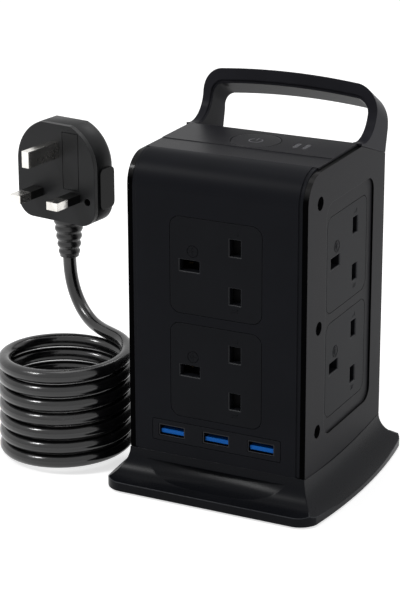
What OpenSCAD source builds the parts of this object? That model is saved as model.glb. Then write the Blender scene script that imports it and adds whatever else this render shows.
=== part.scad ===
// Tower power strip: eight three-pin sockets on four faces, three USB ports, a carrying
// handle, a flared base, and a coiled mains lead that ends in a fused plug.
// Millimetres. +Z is up, the face with the USB ports looks along -Y, and the origin is on
// the surface that the tower stands on, under its middle.

/* [Tower body] */
// Width of the tower across the side panels
body_w = 87; // [86:0.5:110]
// Depth of the tower from the front face to the rear face
body_d = 87; // [84:0.5:110]
// Height of the flat top above the surface it stands on
body_h = 157.5; // [154:0.5:190]
// Wall of the covers, panels and base
wall = 2.5; // [2:0.1:3]
// Radius of the rolled edge between the front and the top
front_roll_r = 15; // [8:0.5:20]
// Width of the shadow groove between the front cover and a side panel's face
reveal = 2.6; // [2.2:0.1:4]
// Width of the lower border along the front cover's sides
border_w = 1.8; // [1:0.1:4]
// How far that border lies below the front face
border_drop = 0.5; // [0.2:0.1:1]

/* [Side panels] */
// Distance from the inserts to the side edges of the shallow recess round them
recess_side = 4.15; // [3:0.05:6]
// Distance from the inserts to the recess's upper and lower edges
recess_end = 6.95; // [5:0.05:8]
// Depth of the recess
recess_t = 0.9; // [0.4:0.1:1.2]
// Corner radius of the recess
recess_r = 6.5; // [2:0.5:10]
// How far the recess's middle lies behind the middle of the inserts
recess_lag = 1.4; // [0:0.1:2.2]
// How far the side sockets lie behind the middle of the side
side_shift = 2.4; // [0:0.1:4]
// Radius of the panel's upper front corner
panel_roll_r = 13; // [6:0.5:18]
// How far the panel's top edge lies below the flat top
panel_drop = 1.4; // [1:0.1:2]
// Place of the three screws between the front face and the side inserts, as a share
screw_share = 0.6165; // [0.57:0.0005:0.68]
// Heights of the three screws, as shares of the tower's height
screw_shares = [0.231, 0.54, 0.9015];
// Diameter of the recess that holds a screw head
screw_pocket_d = 6.3; // [5.8:0.1:8]

/* [Base] */
// Height of the seam between the base and the covers
base_h = 18.5; // [17.5:0.5:22]
// How far the base stands out from the tower all round
flare = 12.4; // [10:0.1:13]
// Height of the upright rim above the surface
rim_h = 5; // [4:0.1:6]
// Radius of the hollow sweep under each side panel
side_sweep_r = 15.6; // [14:0.1:18]
// How far the middle of the base's side edges stands out beyond their ends
side_bow = 4.9; // [1:0.1:6]
// Corner radius of the base in plan
rim_r = 10; // [6:0.5:14]
// How far the seam sags in the middle of each side
seam_sag = 2.4; // [1:0.1:3]
// Width of the scoop under the front cover
scoop_w = 70; // [50:1:74]
// Depth of the scoop behind the front face, under its ceiling
scoop_t = 3; // [1:0.1:3.4]
// Distance from the seam down to the scoop's ceiling
scoop_drop = 4.2; // [3:0.1:5]
// Height of the rubber feet below the rim
foot_h = 0.8; // [0.5:0.1:1.5]
// Diameter of a rubber foot
foot_d = 12; // [8:0.5:14]

/* [Sockets] */
// Side of a square socket insert
socket_size = 45; // [43:0.1:46]
// Corner radius of an insert
socket_r = 5; // [2:0.5:8]
// Distance from the plate round the USB ports to the lower inserts
socket_rise = 3.35; // [2.5:0.05:5]
// Space between the lower and upper inserts
socket_space = 4.35; // [3.9:0.05:6]
// How far the group of slots lies off the middle, towards the earth slot
slot_shift = 1.75; // [0:0.05:2.5]
// Spacing of the live and neutral pins, and of the earth pin from their line
pin_pitch = 22.2; // [21.8:0.05:22.6]
// Long side of a live or neutral slot
line_slot_l = 7.5; // [7:0.1:8]
// Short side of a live or neutral slot
line_slot_w = 5.3; // [4.8:0.1:5.6]
// Long side of an earth slot
earth_slot_l = 9.6; // [8.8:0.1:10]
// Short side of an earth slot
earth_slot_w = 5; // [4.6:0.1:5.6]
// Width of the bevelled lip round a slot
slot_lip = 0.5; // [0.2:0.1:0.8]
// Travel of a shutter
shutter_travel = 6.5; // [6:0.1:7]

/* [Top] */
// Distance behind the middle at which the top starts to fall to the rear
crest_y = 15; // [12:0.5:17]
// Slope of the deck under the handle, in degrees
deck_angle = 16.5; // [10:0.5:20]
// Diameter of the power button
button_d = 22.6; // [18:0.2:26]
// Place of the button's middle, from left to right
button_x = -1; // [-3:0.5:3]
// Place of the button's middle, from front to rear
button_y = -0.5; // [-4:0.5:4]
// Travel of the power button
button_travel = 2; // [1.5:0.1:2.4]
// Length of an indicator window
lens_l = 7.5; // [5:0.5:9]
// Width of an indicator window
lens_w = 2; // [1.5:0.1:2.6]

/* [Handle] */
// Height of the handle's front top edge above the flat top
handle_rise = 24.3; // [21:0.1:42]
// Width of a handle leg
leg_w = 4.7; // [4:0.1:7]
// Thickness of the handle bar, square to its tilt
bar_t = 5.7; // [4.5:0.1:8]
// Tilt of the bar's top and underside towards the rear, in degrees
bar_tilt = 31; // [20:1:40]
// Distance from the handle's front edge to the rear face
handle_depth = 11; // [9:0.5:13]
// How far the handle stands out behind the rear face
handle_bulge = 2.5; // [0:0.1:4]
// Outer corner radius of the handle
handle_r = 10.5; // [9:0.5:16]
// Distance from the edge of the flat top to the foot of the sweep into a leg
foot_gap = 0.7; // [0.4:0.1:4]
// Thickness of the inner liner of the handle
liner_t = 1; // [0.6:0.1:1.5]
// How far the liner lies behind the handle's front edge
liner_step = 0.8; // [0.4:0.1:1.5]

/* [USB ports] */
// Width of the plate round the ports
usb_w = 63.4; // [58:0.2:66]
// Height of the plate
usb_h = 10; // [9:0.1:11]
// Height of the ports' middle
usb_z = 29.5; // [29:0.1:30.5]
// Distance between ports
usb_pitch = 22.2; // [18:0.1:24]
// Outer width of a port's shell
shell_w = 13.1; // [12.9:0.1:13.5]
// Outer height of a port's shell
shell_h = 5.7; // [5.5:0.1:6]
// Length of a port's shell
shell_l = 14; // [12:0.5:16]

/* [Mains lead] */
// Diameter of the lead
cord_d = 6.5; // [6:0.1:6.5]
// Radius of the coil at the middle of the lead
coil_r = 29; // [28:0.5:31]
// Rise of the coil in one turn
coil_pitch = 7; // [7:0.1:7.5]
// Space between the coil and the tower's base
coil_gap = 1; // [1:0.5:12]
// Place of the coil's middle from front to rear
coil_y = -21.5; // [-30:0.5:-16]
// Length of the strain relief at the tower
gland_l = 28; // [20:0.5:34]

/* [Plug] */
// Width of the plug
plug_w = 46; // [44:0.5:52]
// Height of the plug
plug_h = 48; // [47:0.5:52]
// Depth of the plug from its face to its back
plug_t = 19; // [17:0.5:24]
// Turn of the plug about its upright lead, in degrees
plug_yaw = 8; // [0:1:20]
// Length of the ribbed strain relief under the plug
neck_l = 20; // [20:0.5:30]

/* [Hidden] */

// One overrun serves every cut
over = 1;
// Clearance between fixed pieces that meet along a seam
seam = 0.25;
// Clearance between flat fixed pieces that lie against each other
fit = 0.1;
// Running clearance round a moving piece
run = 0.3;
$fn = 64;
// Facets of the widest arcs, such as the sag of the side seam
fn_wide = 360;

hx = body_w/2;
hy = body_d/2;
cover_hx = hx - max(reveal, wall + fit);
deck_rear_z = body_h - (hy - crest_y)*tan(deck_angle);
// The panel's top edge falls to this height at the rear face
panel_rear_z = deck_rear_z - 2*panel_drop;

// The inserts fill the height between the USB plate and the rolled edge, up to a square
insert_low = usb_z + usb_h/2 + socket_rise;
insert_top_gap = 3;
insert_room = body_h - front_roll_r - insert_low - insert_top_gap - socket_space;
insert_h = min(socket_size, insert_room/2);
socket_z = insert_low + insert_h/2;
socket_pitch = insert_h + socket_space;
flange_l = 1.5;
insert_half = socket_size/2 + flange_l;
screw_zs = [for (share = screw_shares) share*body_h];
// The covers' flanges stop short of the side inserts
cover_flange_gap = 2.9;
rear_flange_gap = 3.1;
cover_flange = hy + side_shift - insert_half - cover_flange_gap;
rear_flange = hy - side_shift - insert_half - rear_flange_gap;
screw_inset = screw_share*(cover_flange + cover_flange_gap);
handle_h = body_h + handle_rise;
handle_y = hy - handle_depth;
foot_sweep_r = (handle_y - crest_y - foot_gap)/(1 + sin(deck_angle));
// Depth of the works behind a face, and half the clear space that they leave
works_d = 10;
carrier_t = 12;
carrier_back = works_d + carrier_t;
core_y = hy - carrier_back;

// The faces run front, right, rear and left, a quarter turn apart
function face_half(k) = k%2 == 0 ? hy : hx;
function face_shift(k) = k == 1 ? side_shift : k == 3 ? -side_shift : 0;
function face_drop(k) = k%2 == 0 ? 0 : recess_t;
function face_wall(k) = wall - face_drop(k);
function socket_height(row) = socket_z + row*socket_pitch;

// Places the children on a face: X runs to the viewer's right, Y into the tower, Z up,
// from the middle of the face's socket column at the level of the inserts' surface.
module on_face(k) {
    rotate([0, 0, 90*k])
        translate([face_shift(k), face_drop(k) - face_half(k), 0])
            children();
}

// A box between two corners
module block(from, to) {
    translate(from) cube(to - from);
}

// A rounded rectangle about its middle, with true arcs at the corners
module rounded(w, h, r) {
    square([w - 2*r, h], center = true);
    square([w, h - 2*r], center = true);
    for (sx = [-1, 1], sy = [-1, 1])
        translate([sx*(w/2 - r), sy*(h/2 - r)]) circle(r);
}

// A rounded rectangular bar that runs into the tower from one depth to another
module face_bar(w, h, r, from, to, x = 0, z = 0) {
    translate([x, to, z]) rotate([90, 0, 0]) linear_extrude(to - from) rounded(w, h, r);
}

// A plate drawn in Y and Z that runs along X
module along_x(from, to) {
    translate([from, 0, 0]) rotate([90, 0, 90]) linear_extrude(to - from) children();
}

// The side view of the tower with its rolled front top edge, in Y and Z
module rolled_side(front, top, r, bottom, rear) {
    translate([front, bottom]) square([rear - front, top - r - bottom]);
    translate([front + r, bottom]) square([rear - front - r, top - bottom]);
    intersection() {
        translate([front + r, top - r]) circle(r);
        translate([front, bottom]) square([rear - front, top - bottom]);
    }
}

// Front cover: the front wall rolls over into the top, and two flanges carry the screws
boss_r = 3.4;
boss_l = 8;
pilot_r = 1.1;

module cover_section(inset) {
    r = front_roll_r - inset;
    difference() {
        rolled_side(inset - hy, body_h - inset, r, base_h, front_roll_r - hy + over);
        translate([wall - hy, base_h - over])
            square([front_roll_r, body_h - front_roll_r - base_h + over]);
        translate([front_roll_r - hy, body_h - front_roll_r]) circle(front_roll_r - wall);
        translate([front_roll_r - hy, base_h - over]) square([body_d, body_h]);
    }
}

module cover_flange_section() {
    difference() {
        rolled_side(border_drop - hy, body_h - border_drop, front_roll_r - border_drop,
                    base_h, cover_flange - hy);
        translate([front_roll_r - hy - seam, body_h - wall - seam])
            square([cover_flange, wall + over]);
    }
}

module socket_windows(k) {
    for (row = [0, 1])
        on_face(k)
            face_bar(socket_size, insert_h, socket_r, -over - recess_t, wall + over,
                     0, socket_height(row));
}

module front_cover() {
    color([0.07, 0.07, 0.08]) difference() {
        union() {
            along_x(border_w - cover_hx, cover_hx - border_w) cover_section(0);
            along_x(-cover_hx, cover_hx) cover_section(border_drop);
            for (side = [0, 1]) mirror([side, 0, 0]) {
                along_x(cover_hx - wall, cover_hx) cover_flange_section();
                for (z = screw_zs)
                    translate([cover_hx - boss_l, screw_inset - hy, z])
                        rotate([0, 90, 0]) cylinder(boss_l - wall/2, boss_r, boss_r);
            }
        }
        socket_windows(0);
        on_face(0) face_bar(usb_w + 2*seam, usb_h + 2*seam, 1, -over, wall + over, 0, usb_z);
        for (side = [0, 1], z = screw_zs) mirror([side, 0, 0])
            translate([cover_hx - boss_l - over, screw_inset - hy, z])
                rotate([0, 90, 0]) cylinder(boss_l + 2*over, pilot_r, pilot_r);
    }
}

// Rear cover: a flat wall with two flanges, windows for two inserts and the lead's outlet
outlet_z = 27;
gland_r = 6.2;

module rear_cover() {
    color([0.07, 0.07, 0.08]) difference() {
        union() {
            block([-cover_hx, hy - wall, base_h], [cover_hx, hy, panel_rear_z]);
            for (side = [0, 1]) mirror([side, 0, 0])
                block([cover_hx - wall, hy - rear_flange, base_h], [cover_hx, hy, panel_rear_z]);
        }
        socket_windows(2);
        translate([0, hy + over, outlet_z]) rotate([90, 0, 0])
            cylinder(wall + 2*over, gland_r + fit, gland_r + fit);
    }
}

// Side panel: flat plate with the recess, two windows and three screw pockets
sag_r = (hy*hy + seam_sag*seam_sag)/(2*seam_sag);
screw_hole_r = 1.7;
screw_pocket_t = 1.6;

// The part of the side view that lies above the sagging seam
module above_sag(gap) {
    translate([0, base_h - seam_sag + sag_r + gap]) circle(sag_r, $fn = fn_wide);
    translate([-body_d, base_h + gap]) square([2*body_d, body_h]);
}

module panel_section() {
    difference() {
        intersection() {
            rolled_side(border_drop - hy, body_h - panel_drop, panel_roll_r, base_h - seam_sag, hy);
            above_sag(0);
        }
        polygon([[crest_y, body_h - panel_drop], [hy, panel_rear_z],
                 [hy + over, panel_rear_z], [hy + over, body_h], [crest_y, body_h]]);
    }
}

module right_panel_solid() {
    difference() {
        along_x(hx - wall, hx) panel_section();
        translate([0, recess_lag, 0]) on_face(1)
            face_bar(socket_size + 2*recess_side, socket_pitch + insert_h + 2*recess_end, recess_r,
                     -recess_t - over, 0, 0, socket_height(0) + socket_pitch/2);
        socket_windows(1);
        for (z = screw_zs) translate([hx, screw_inset - hy, z]) rotate([0, -90, 0]) {
            translate([0, 0, -over]) cylinder(wall + 2*over, screw_hole_r, screw_hole_r);
            translate([0, 0, -over])
                cylinder(screw_pocket_t + over, screw_pocket_d/2, screw_pocket_d/2);
        }
    }
}

module right_side_panel() {
    color([0.16, 0.16, 0.17]) right_panel_solid();
}

module left_side_panel() {
    color([0.16, 0.16, 0.17]) mirror([1, 0, 0]) right_panel_solid();
}

// Top plate: the flat top with its button hole, two windows, and bosses underneath
plate_y0 = front_roll_r - hy + seam;
plate_y1 = crest_y - seam;
skin_t = panel_drop - run;
// How far the top plate stops short of the side
top_inset = 2;
strip_y = -13;
strip_drop = 0.25;
lens_x = 19;
lens_pitch = 4.6;
lens_xs = [lens_x, lens_x + lens_pitch];
lens_gap = 0.15;
button_gap = 0.4;
switch_boss_x = 15;
switch_boss_y = 10;
switch_boss_r = 2.4;
switch_drop = 7;
switch_top = body_h - wall - switch_drop;
led_drop = 3.8;
led_board_top = body_h - wall - led_drop;
led_boss_y = 8;
led_boss_r = 1.8;
led_x = (lens_xs[0] + lens_xs[1])/2;

module pill(l, w) {
    square([w, l - w], center = true);
    for (s = [-1, 1]) translate([0, s*(l - w)/2]) circle(w/2);
}

module top_plate() {
    color([0.1, 0.1, 0.11]) difference() {
        union() {
            block([top_inset - hx, plate_y0, body_h - skin_t], [hx - top_inset, plate_y1, body_h]);
            block([-cover_hx, plate_y0, body_h - wall], [cover_hx, plate_y1, body_h]);
            for (sx = [-1, 1], sy = [-1, 1])
                translate([button_x + sx*switch_boss_x, button_y + sy*switch_boss_y, switch_top])
                    cylinder(body_h - wall/2 - switch_top, switch_boss_r, switch_boss_r);
            for (sy = [-1, 1])
                translate([led_x, button_y + sy*led_boss_y, led_board_top])
                    cylinder(body_h - wall/2 - led_board_top, led_boss_r, led_boss_r);
        }
        block([-hx, plate_y0 - over, body_h - strip_drop], [hx, strip_y, body_h + over]);
        translate([button_x, button_y, body_h - wall - over])
            cylinder(wall + 2*over, button_d/2 + button_gap, button_d/2 + button_gap);
        for (x = lens_xs) translate([x, button_y, body_h - wall - over])
            linear_extrude(wall + 2*over) pill(lens_l + 2*lens_gap, lens_w + 2*lens_gap);
    }
}

// Handle: one moulding with the sloping deck, two legs and the tilted bar
bar_w = handle_y*sin(bar_tilt) + handle_h*cos(bar_tilt);
crown_r = 9*hx;
sweep_z = body_h - (handle_y - foot_sweep_r - crest_y)*tan(deck_angle)
    + foot_sweep_r/cos(deck_angle);

// The handle's outline seen along its tilt, less a given thickness all round. Its corner
// circles touch the sides and the crowned top without a kink.
module loop_section(inset_x, inset_top) {
    top = bar_w - inset_top;
    r = handle_r - inset_x;
    side = hx - inset_x - r;
    rise = top - crown_r + sqrt((crown_r - r)*(crown_r - r) - side*side);
    crown_end = side*crown_r/(crown_r - r);
    intersection() {
        union() {
            translate([inset_x - hx, 0]) square([2*(hx - inset_x), rise]);
            translate([-crown_end, 0]) square([2*crown_end, top]);
            for (s = [-1, 1]) translate([s*side, rise]) circle(r);
        }
        translate([0, top - crown_r]) circle(crown_r, $fn = fn_wide);
    }
}

module tilted_loop(inset_x, inset_top) {
    rotate([90 - bar_tilt, 0, 0]) linear_extrude(3*body_h, center = true)
        loop_section(inset_x, inset_top);
}

// The handle's side view, its front edge set back by a step
module strap_section(step) {
    rear_mid = (body_h + sweep_z)/2 - foot_sweep_r/2;
    sweep_y = handle_y - foot_sweep_r + step;
    foot_y = sweep_y - foot_sweep_r*sin(deck_angle);
    foot_z = body_h - (foot_y - crest_y)*tan(deck_angle) - panel_drop/2;
    difference() {
        polygon([[foot_y, foot_z], [foot_y, sweep_z], [handle_y + step, sweep_z],
                 [handle_y + step, handle_h + over], [hy + handle_bulge, handle_h + over],
                 [hy + handle_bulge, rear_mid], [hy, panel_rear_z + fit],
                 [hy, deck_rear_z - panel_drop/2]]);
        translate([sweep_y, sweep_z]) circle(foot_sweep_r);
    }
}

module deck_section(thickness) {
    polygon([[crest_y, body_h], [hy, deck_rear_z], [hy, deck_rear_z - thickness],
             [crest_y, body_h - thickness]]);
}

// Lips under the deck stand just inside the covers and close the seams round it
lip_t = 1.5;
lip_drop = 2;
lip_x = cover_hx - wall - run;
lip_y = hy - wall - run;

module deck_side_section() {
    polygon([[crest_y, body_h], [hy, deck_rear_z], [hy, panel_rear_z + fit],
             [crest_y, body_h - panel_drop + run]]);
}

module handle() {
    color([0.09, 0.09, 0.1]) union() {
        difference() {
            intersection() {
                tilted_loop(0, 0);
                along_x(-hx, hx) strap_section(0);
            }
            tilted_loop(leg_w - liner_t, bar_t - liner_t);
        }
        difference() {
            intersection() {
                tilted_loop(leg_w - liner_t - fit, bar_t - liner_t - fit);
                along_x(-hx, hx) strap_section(liner_step);
            }
            tilted_loop(leg_w, bar_t);
        }
        along_x(-hx, hx) deck_side_section();
        along_x(-cover_hx, cover_hx) deck_section(2*panel_drop - fit);
        difference() {
            along_x(-lip_x, lip_x) deck_section(2*panel_drop + lip_drop);
            along_x(lip_t - lip_x, lip_x - lip_t)
                translate([-lip_t - run - wall, 0]) deck_section(body_h);
            block([-hx, lip_y, 0], [hx, body_d, deck_rear_z]);
        }
    }
}

// Base: a hollow flared skirt. Each face has one hollow sweep, the sweeps meet in mitred
// corners, and an upright wall with bowed sides cuts them off round the foot.
front_sweep_r = base_h - rim_h;
base_hy = hy + flare;
bow_r = (base_hy*base_hy + side_bow*side_bow)/(2*side_bow);
bow_x = hx + flare - bow_r;
tab_z = 9;
tab_t = 4;
tab_r = 5;
post_inset = 10.5;
base_post_x = hx - post_inset;
base_post_y = hy - post_inset;
base_screw_r = 1.5;

// The base's outline in plan, less a given thickness all round. The bowed sides trim the
// corner circles, which start a little outside them.
module base_plan(inset) {
    corner_y = base_hy - rim_r;
    corner_x = bow_x + sqrt(bow_r*bow_r - corner_y*corner_y) - rim_r + fit;
    intersection() {
        union() {
            square([2*corner_x, 2*(base_hy - inset)], center = true);
            square([2*(hx + flare + over), 2*corner_y], center = true);
            for (sx = [-1, 1], sy = [-1, 1])
                translate([sx*corner_x, sy*corner_y]) circle(rim_r - inset);
        }
        translate([bow_x, 0]) circle(bow_r - inset, $fn = fn_wide);
        translate([-bow_x, 0]) circle(bow_r - inset, $fn = fn_wide);
    }
}

// Section across two opposite sweeps, less a given thickness
module sweep_section(half, r, inset) {
    difference() {
        translate([-half - flare - over, 0]) square([2*(half + flare + over), base_h + inset]);
        for (side = [0, 1]) mirror([side, 0, 0]) {
            translate([half + r, base_h]) circle(r + inset);
            translate([half + r, base_h - r - inset]) square(body_h);
            translate([half - inset, base_h]) square(body_h);
        }
    }
}

module skirt_solid(inset, bottom) {
    intersection() {
        along_x(-body_w, body_w) sweep_section(hy, front_sweep_r, inset);
        rotate([90, 0, 0]) linear_extrude(2*body_d, center = true)
            sweep_section(hx, side_sweep_r, inset);
        translate([0, 0, bottom]) linear_extrude(body_h) base_plan(inset);
    }
}

// How far a sweep stands out from the tower, on its inner side, at a given height
function sweep_room(r, z) = r - sqrt((r + wall)*(r + wall) - (base_h - z)*(base_h - z));

// The scoop is a wide ring that cuts into the front sweep below a flat ceiling. Its section
// is the circle that leaves the sweep near the rim at a shallow slope and ends at the ceiling.
scoop_foot = 1.3;
scoop_slope = 10;
scoop_top = base_h - scoop_drop;
scoop_edge_z = rim_h + scoop_foot;

function front_sweep(z) = front_sweep_r - sqrt(front_sweep_r*front_sweep_r - (base_h - z)*(base_h - z));

module scoop() {
    half = scoop_w/2;
    edge_y = -hy - front_sweep(scoop_edge_z);
    dy = scoop_t - hy - edge_y;
    dz = scoop_top - scoop_edge_z;
    scoop_r = (dy*dy + dz*dz)/(2*(dz*cos(scoop_slope) - dy*sin(scoop_slope)));
    ring_drop = scoop_t + front_sweep(scoop_top);
    ring_r = (half*half + ring_drop*ring_drop)/(2*ring_drop);
    axis_y = scoop_t - hy - ring_r;
    intersection() {
        translate([0, axis_y, scoop_edge_z + scoop_r*cos(scoop_slope)])
            rotate([0, 0, 90 - 30]) rotate_extrude(angle = 60, $fn = fn_wide)
                translate([edge_y - scoop_r*sin(scoop_slope) - axis_y, 0])
                    circle(scoop_r, $fn = 48);
        block([-scoop_w, -body_d, 0], [scoop_w, 0, scoop_top]);
    }
}

module base_skirt() {
    color([0.1, 0.1, 0.11]) difference() {
        skirt_solid(0, foot_h);
        difference() {
            skirt_solid(wall, foot_h - over);
            block([-scoop_w/2 - wall, -body_d, rim_h], [scoop_w/2 + wall, 2*wall - hy, body_h]);
            for (a = [0, 1], b = [0, 1]) mirror([a, 0, 0]) mirror([0, b, 0])
                block([base_post_x - tab_r, base_post_y - tab_r, tab_z],
                      [body_w, body_d, tab_z + tab_t]);
        }
        scoop();
        for (side = [0, 1]) mirror([side, 0, 0])
            along_x(hx - wall - over, hx + flare) above_sag(-seam);
        for (sx = [-1, 1], sy = [-1, 1]) translate([sx*base_post_x, sy*base_post_y, tab_z - over])
            cylinder(tab_t + 2*over, base_screw_r, base_screw_r);
    }
}

// Base plate: closes the tower below and carries four posts under the skirt's tabs
foot_skin = 0.4;
plate_z = foot_h + foot_skin;
plate_t = 2;
plate_gap = 1;
plate_x = hx + sweep_room(side_sweep_r, plate_z + plate_t + plate_gap);
plate_y = hy + sweep_room(front_sweep_r, plate_z + plate_t + plate_gap);
foot_inset = 1;
post_r = 4.5;
base_bore_r = 1.7;
head_pocket_r = 3.2;
head_pocket_t = 2.4;
board_post_x = 20;
board_post_y = 5;
board_post_inset = 6.1;
board_post_r = 3;
board_t = 1.6;
board_z = usb_z - shell_h/2;
usb_flange_t = 1.5;
board_y0 = wall + fit + usb_flange_t + run - hy;
board_post_ys = [board_y0 + board_post_inset, -board_post_y];

module base_plate() {
    color([0.09, 0.09, 0.1]) difference() {
        union() {
            translate([0, 0, plate_z]) linear_extrude(plate_t)
                rounded(2*plate_x, 2*plate_y, rim_r - wall);
            for (sx = [-1, 1], sy = [-1, 1])
                translate([sx*base_post_x, sy*base_post_y, plate_z])
                    cylinder(tab_z - plate_z, post_r, post_r);
            for (sx = [-1, 1], y = board_post_ys)
                translate([sx*board_post_x, y, plate_z])
                    cylinder(board_z - board_t - plate_z, board_post_r, board_post_r);
        }
        for (sx = [-1, 1], sy = [-1, 1])
            translate([sx*base_post_x, sy*base_post_y, plate_z - over]) {
                cylinder(tab_z, base_bore_r, base_bore_r);
                cylinder(head_pocket_t + over, head_pocket_r, head_pocket_r);
            }
    }
}

module rubber_feet() {
    color([0.05, 0.05, 0.05]) for (sx = [-1, 1], sy = [-1, 1])
        translate([sx*(plate_x - foot_d/2 - foot_inset), sy*(plate_y - foot_d/2 - foot_inset), 0])
            cylinder(plate_z, foot_d/2, foot_d/2);
}

// A cross cut in a screw head, from its top down
module cross_recess(r, depth) {
    for (turn = [0, 90]) rotate([0, 0, turn])
        translate([-r*0.6, -r*0.12, -over]) cube([r*1.2, r*0.24, depth + over]);
}

// A screw whose head starts at the origin and whose shank runs along +Z
module screw(head_r, head_t, shank_r, length) {
    difference() {
        cylinder(head_t, head_r, head_r);
        cross_recess(head_r, head_t/2);
    }
    translate([0, 0, head_t/2]) cylinder(length - head_t/2, shank_r, shank_r);
}

base_head_t = 1.8;
base_shank_r = 1.3;

module base_screws() {
    color([0.6, 0.6, 0.62]) for (sx = [-1, 1], sy = [-1, 1])
        translate([sx*base_post_x, sy*base_post_y, plate_z + head_pocket_t - base_head_t])
            screw(head_pocket_r - run, base_head_t, base_shank_r,
                  tab_z + tab_t - plate_z - head_pocket_t + base_head_t - over/2);
}

side_head_t = 1.3;
side_shank_r = 0.95;

module side_screws() {
    color([0.05, 0.05, 0.05]) for (side = [0, 1], z = screw_zs) mirror([side, 0, 0])
        translate([hx - screw_pocket_t + side_head_t, screw_inset - hy, z]) rotate([0, -90, 0])
            screw(screw_pocket_d/2 - run, side_head_t, side_shank_r, side_head_t + boss_l - over);
}

// Socket insert: face with three slots, flange behind the wall, two rails for the shutter
insert_t = 4;
rail_inset = 2.3;
rail_z = insert_h/2 - rail_inset;
rail_t = 1.8;
rail_x = 20.2;
line_x = pin_pitch/2 - slot_shift;
earth_x = -pin_pitch/2 - slot_shift;

module slots(gap, from, to) {
    r = slot_lip/2;
    face_bar(earth_slot_l + 2*gap, earth_slot_w + 2*gap, r, from, to, earth_x, 0);
    for (s = [-1, 1])
        face_bar(line_slot_w + 2*gap, line_slot_l + 2*gap, r, from, to, line_x, s*pin_pitch/2);
}

module socket(k, row) {
    color([0.13, 0.13, 0.14]) on_face(k) translate([0, 0, socket_height(row)]) difference() {
        union() {
            face_bar(socket_size - 2*seam, insert_h - 2*seam, socket_r - seam, 0, insert_t);
            face_bar(socket_size + 2*flange_l, insert_h + 2*flange_l, socket_r,
                     face_wall(k) + fit, insert_t);
            for (s = [-1, 1])
                block([-rail_x, insert_t - over, s*(rail_z + rail_t/2) - rail_t/2],
                      [rail_x, works_d, s*(rail_z + rail_t/2) + rail_t/2]);
        }
        slots(0, -over, insert_t + over);
        slots(slot_lip, -over, slot_lip);
    }
}

module socket_front_upper() { socket(0, 1); }
module socket_front_lower() { socket(0, 0); }
module socket_right_upper() { socket(1, 1); }
module socket_right_lower() { socket(1, 0); }
module socket_rear_upper() { socket(2, 1); }
module socket_rear_lower() { socket(2, 0); }
module socket_left_upper() { socket(3, 1); }
module socket_left_lower() { socket(3, 0); }

// Shutter: a plate over the live and neutral slots, and a ramp that the earth pin pushes
earth_pin_l = 7.92;
shutter_t = 2;
shutter_x0 = line_x - line_slot_w/2 - run;
shutter_x1 = line_x + line_slot_w/2 + run;
shutter_back = works_d - run;
ramp_x = earth_x + earth_pin_l/2 + run - shutter_travel;
tongue_h = 7;

module shutter(k, row) {
    front = insert_t + run;
    color([0.55, 0.55, 0.56]) on_face(k) translate([0, 0, socket_height(row)]) {
        block([shutter_x0, front, run - rail_z], [shutter_x1, front + shutter_t, rail_z - run]);
        translate([0, 0, -tongue_h/2]) linear_extrude(tongue_h)
            polygon([[ramp_x, shutter_back], [ramp_x, shutter_back - over],
                     [ramp_x + shutter_travel, front], [shutter_x0 + over, front],
                     [shutter_x0 + over, shutter_back]]);
    }
}

module shutter_front_upper() { shutter(0, 1); }
module shutter_front_lower() { shutter(0, 0); }
module shutter_right_upper() { shutter(1, 1); }
module shutter_right_lower() { shutter(1, 0); }
module shutter_rear_upper() { shutter(2, 1); }
module shutter_rear_lower() { shutter(2, 0); }
module shutter_left_upper() { shutter(3, 1); }
module shutter_left_lower() { shutter(3, 0); }

// Contacts: in each face's carrier, three strips with a pair of leaves for every pin
carrier_x = 20;
leaf_t = 0.6;
strip_t = 0.8;
pin_w = 3.95;
leaf_gap = pin_w + 2*fit;
leaf_front = works_d + over;
strip_cover = 2;
strip_front = carrier_back - strip_cover;
line_leaf_l = 6;
earth_leaf_inset = 1.4;
earth_leaf_end = earth_leaf_inset - carrier_x;
earth_leaf_l = earth_x + earth_pin_l/2 - earth_leaf_end;
strip_w = 4;
earth_strip_front = strip_front - strip_w;
// Where the live and the neutral strips start, from the middle of the column
live_strip_x = line_x + leaf_gap/2 + leaf_t + over;
neutral_strip_x = line_x - leaf_gap/2 - leaf_t - over - strip_w;

// The strip and leaves of one line, for the upper pins of each socket or the lower ones
module line_contacts(side, strip_x, gap) {
    z0 = socket_height(0) + side*pin_pitch/2;
    z1 = socket_height(1) + side*pin_pitch/2;
    x0 = min(strip_x, line_x - leaf_gap/2 - leaf_t);
    x1 = max(strip_x + strip_w, line_x + leaf_gap/2 + leaf_t);
    block([strip_x - gap, strip_front, z0 - line_leaf_l/2 - gap],
          [strip_x + strip_w + gap, strip_front + strip_t, z1 + line_leaf_l/2 + gap]);
    for (z = [z0, z1]) {
        block([x0 - gap, strip_front, z - line_leaf_l/2 - gap],
              [x1 + gap, strip_front + strip_t, z + line_leaf_l/2 + gap]);
        for (s = [-1, 1]) {
            x = line_x + s*(leaf_gap + leaf_t)/2;
            block([x - leaf_t/2, leaf_front, z - line_leaf_l/2],
                  [x + leaf_t/2, strip_front + strip_t, z + line_leaf_l/2]);
        }
    }
}

module earth_contact_strip() {
    z0 = socket_height(0) - leaf_gap/2 - leaf_t;
    z1 = socket_height(1) + leaf_gap/2 + leaf_t;
    block([earth_leaf_end, earth_strip_front, z0],
          [earth_leaf_end + strip_t, strip_front + strip_t, z1]);
    for (row = [0, 1], s = [-1, 1]) {
        z = socket_height(row) + s*(leaf_gap + leaf_t)/2;
        block([earth_leaf_end, leaf_front, z - leaf_t/2],
              [earth_leaf_end + earth_leaf_l, strip_front, z + leaf_t/2]);
    }
}

module live_contacts() {
    color([0.78, 0.6, 0.3]) for (k = [0:3]) on_face(k) line_contacts(1, live_strip_x, 0);
}

module neutral_contacts() {
    color([0.78, 0.6, 0.3]) for (k = [0:3]) on_face(k) line_contacts(-1, neutral_strip_x, 0);
}

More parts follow.
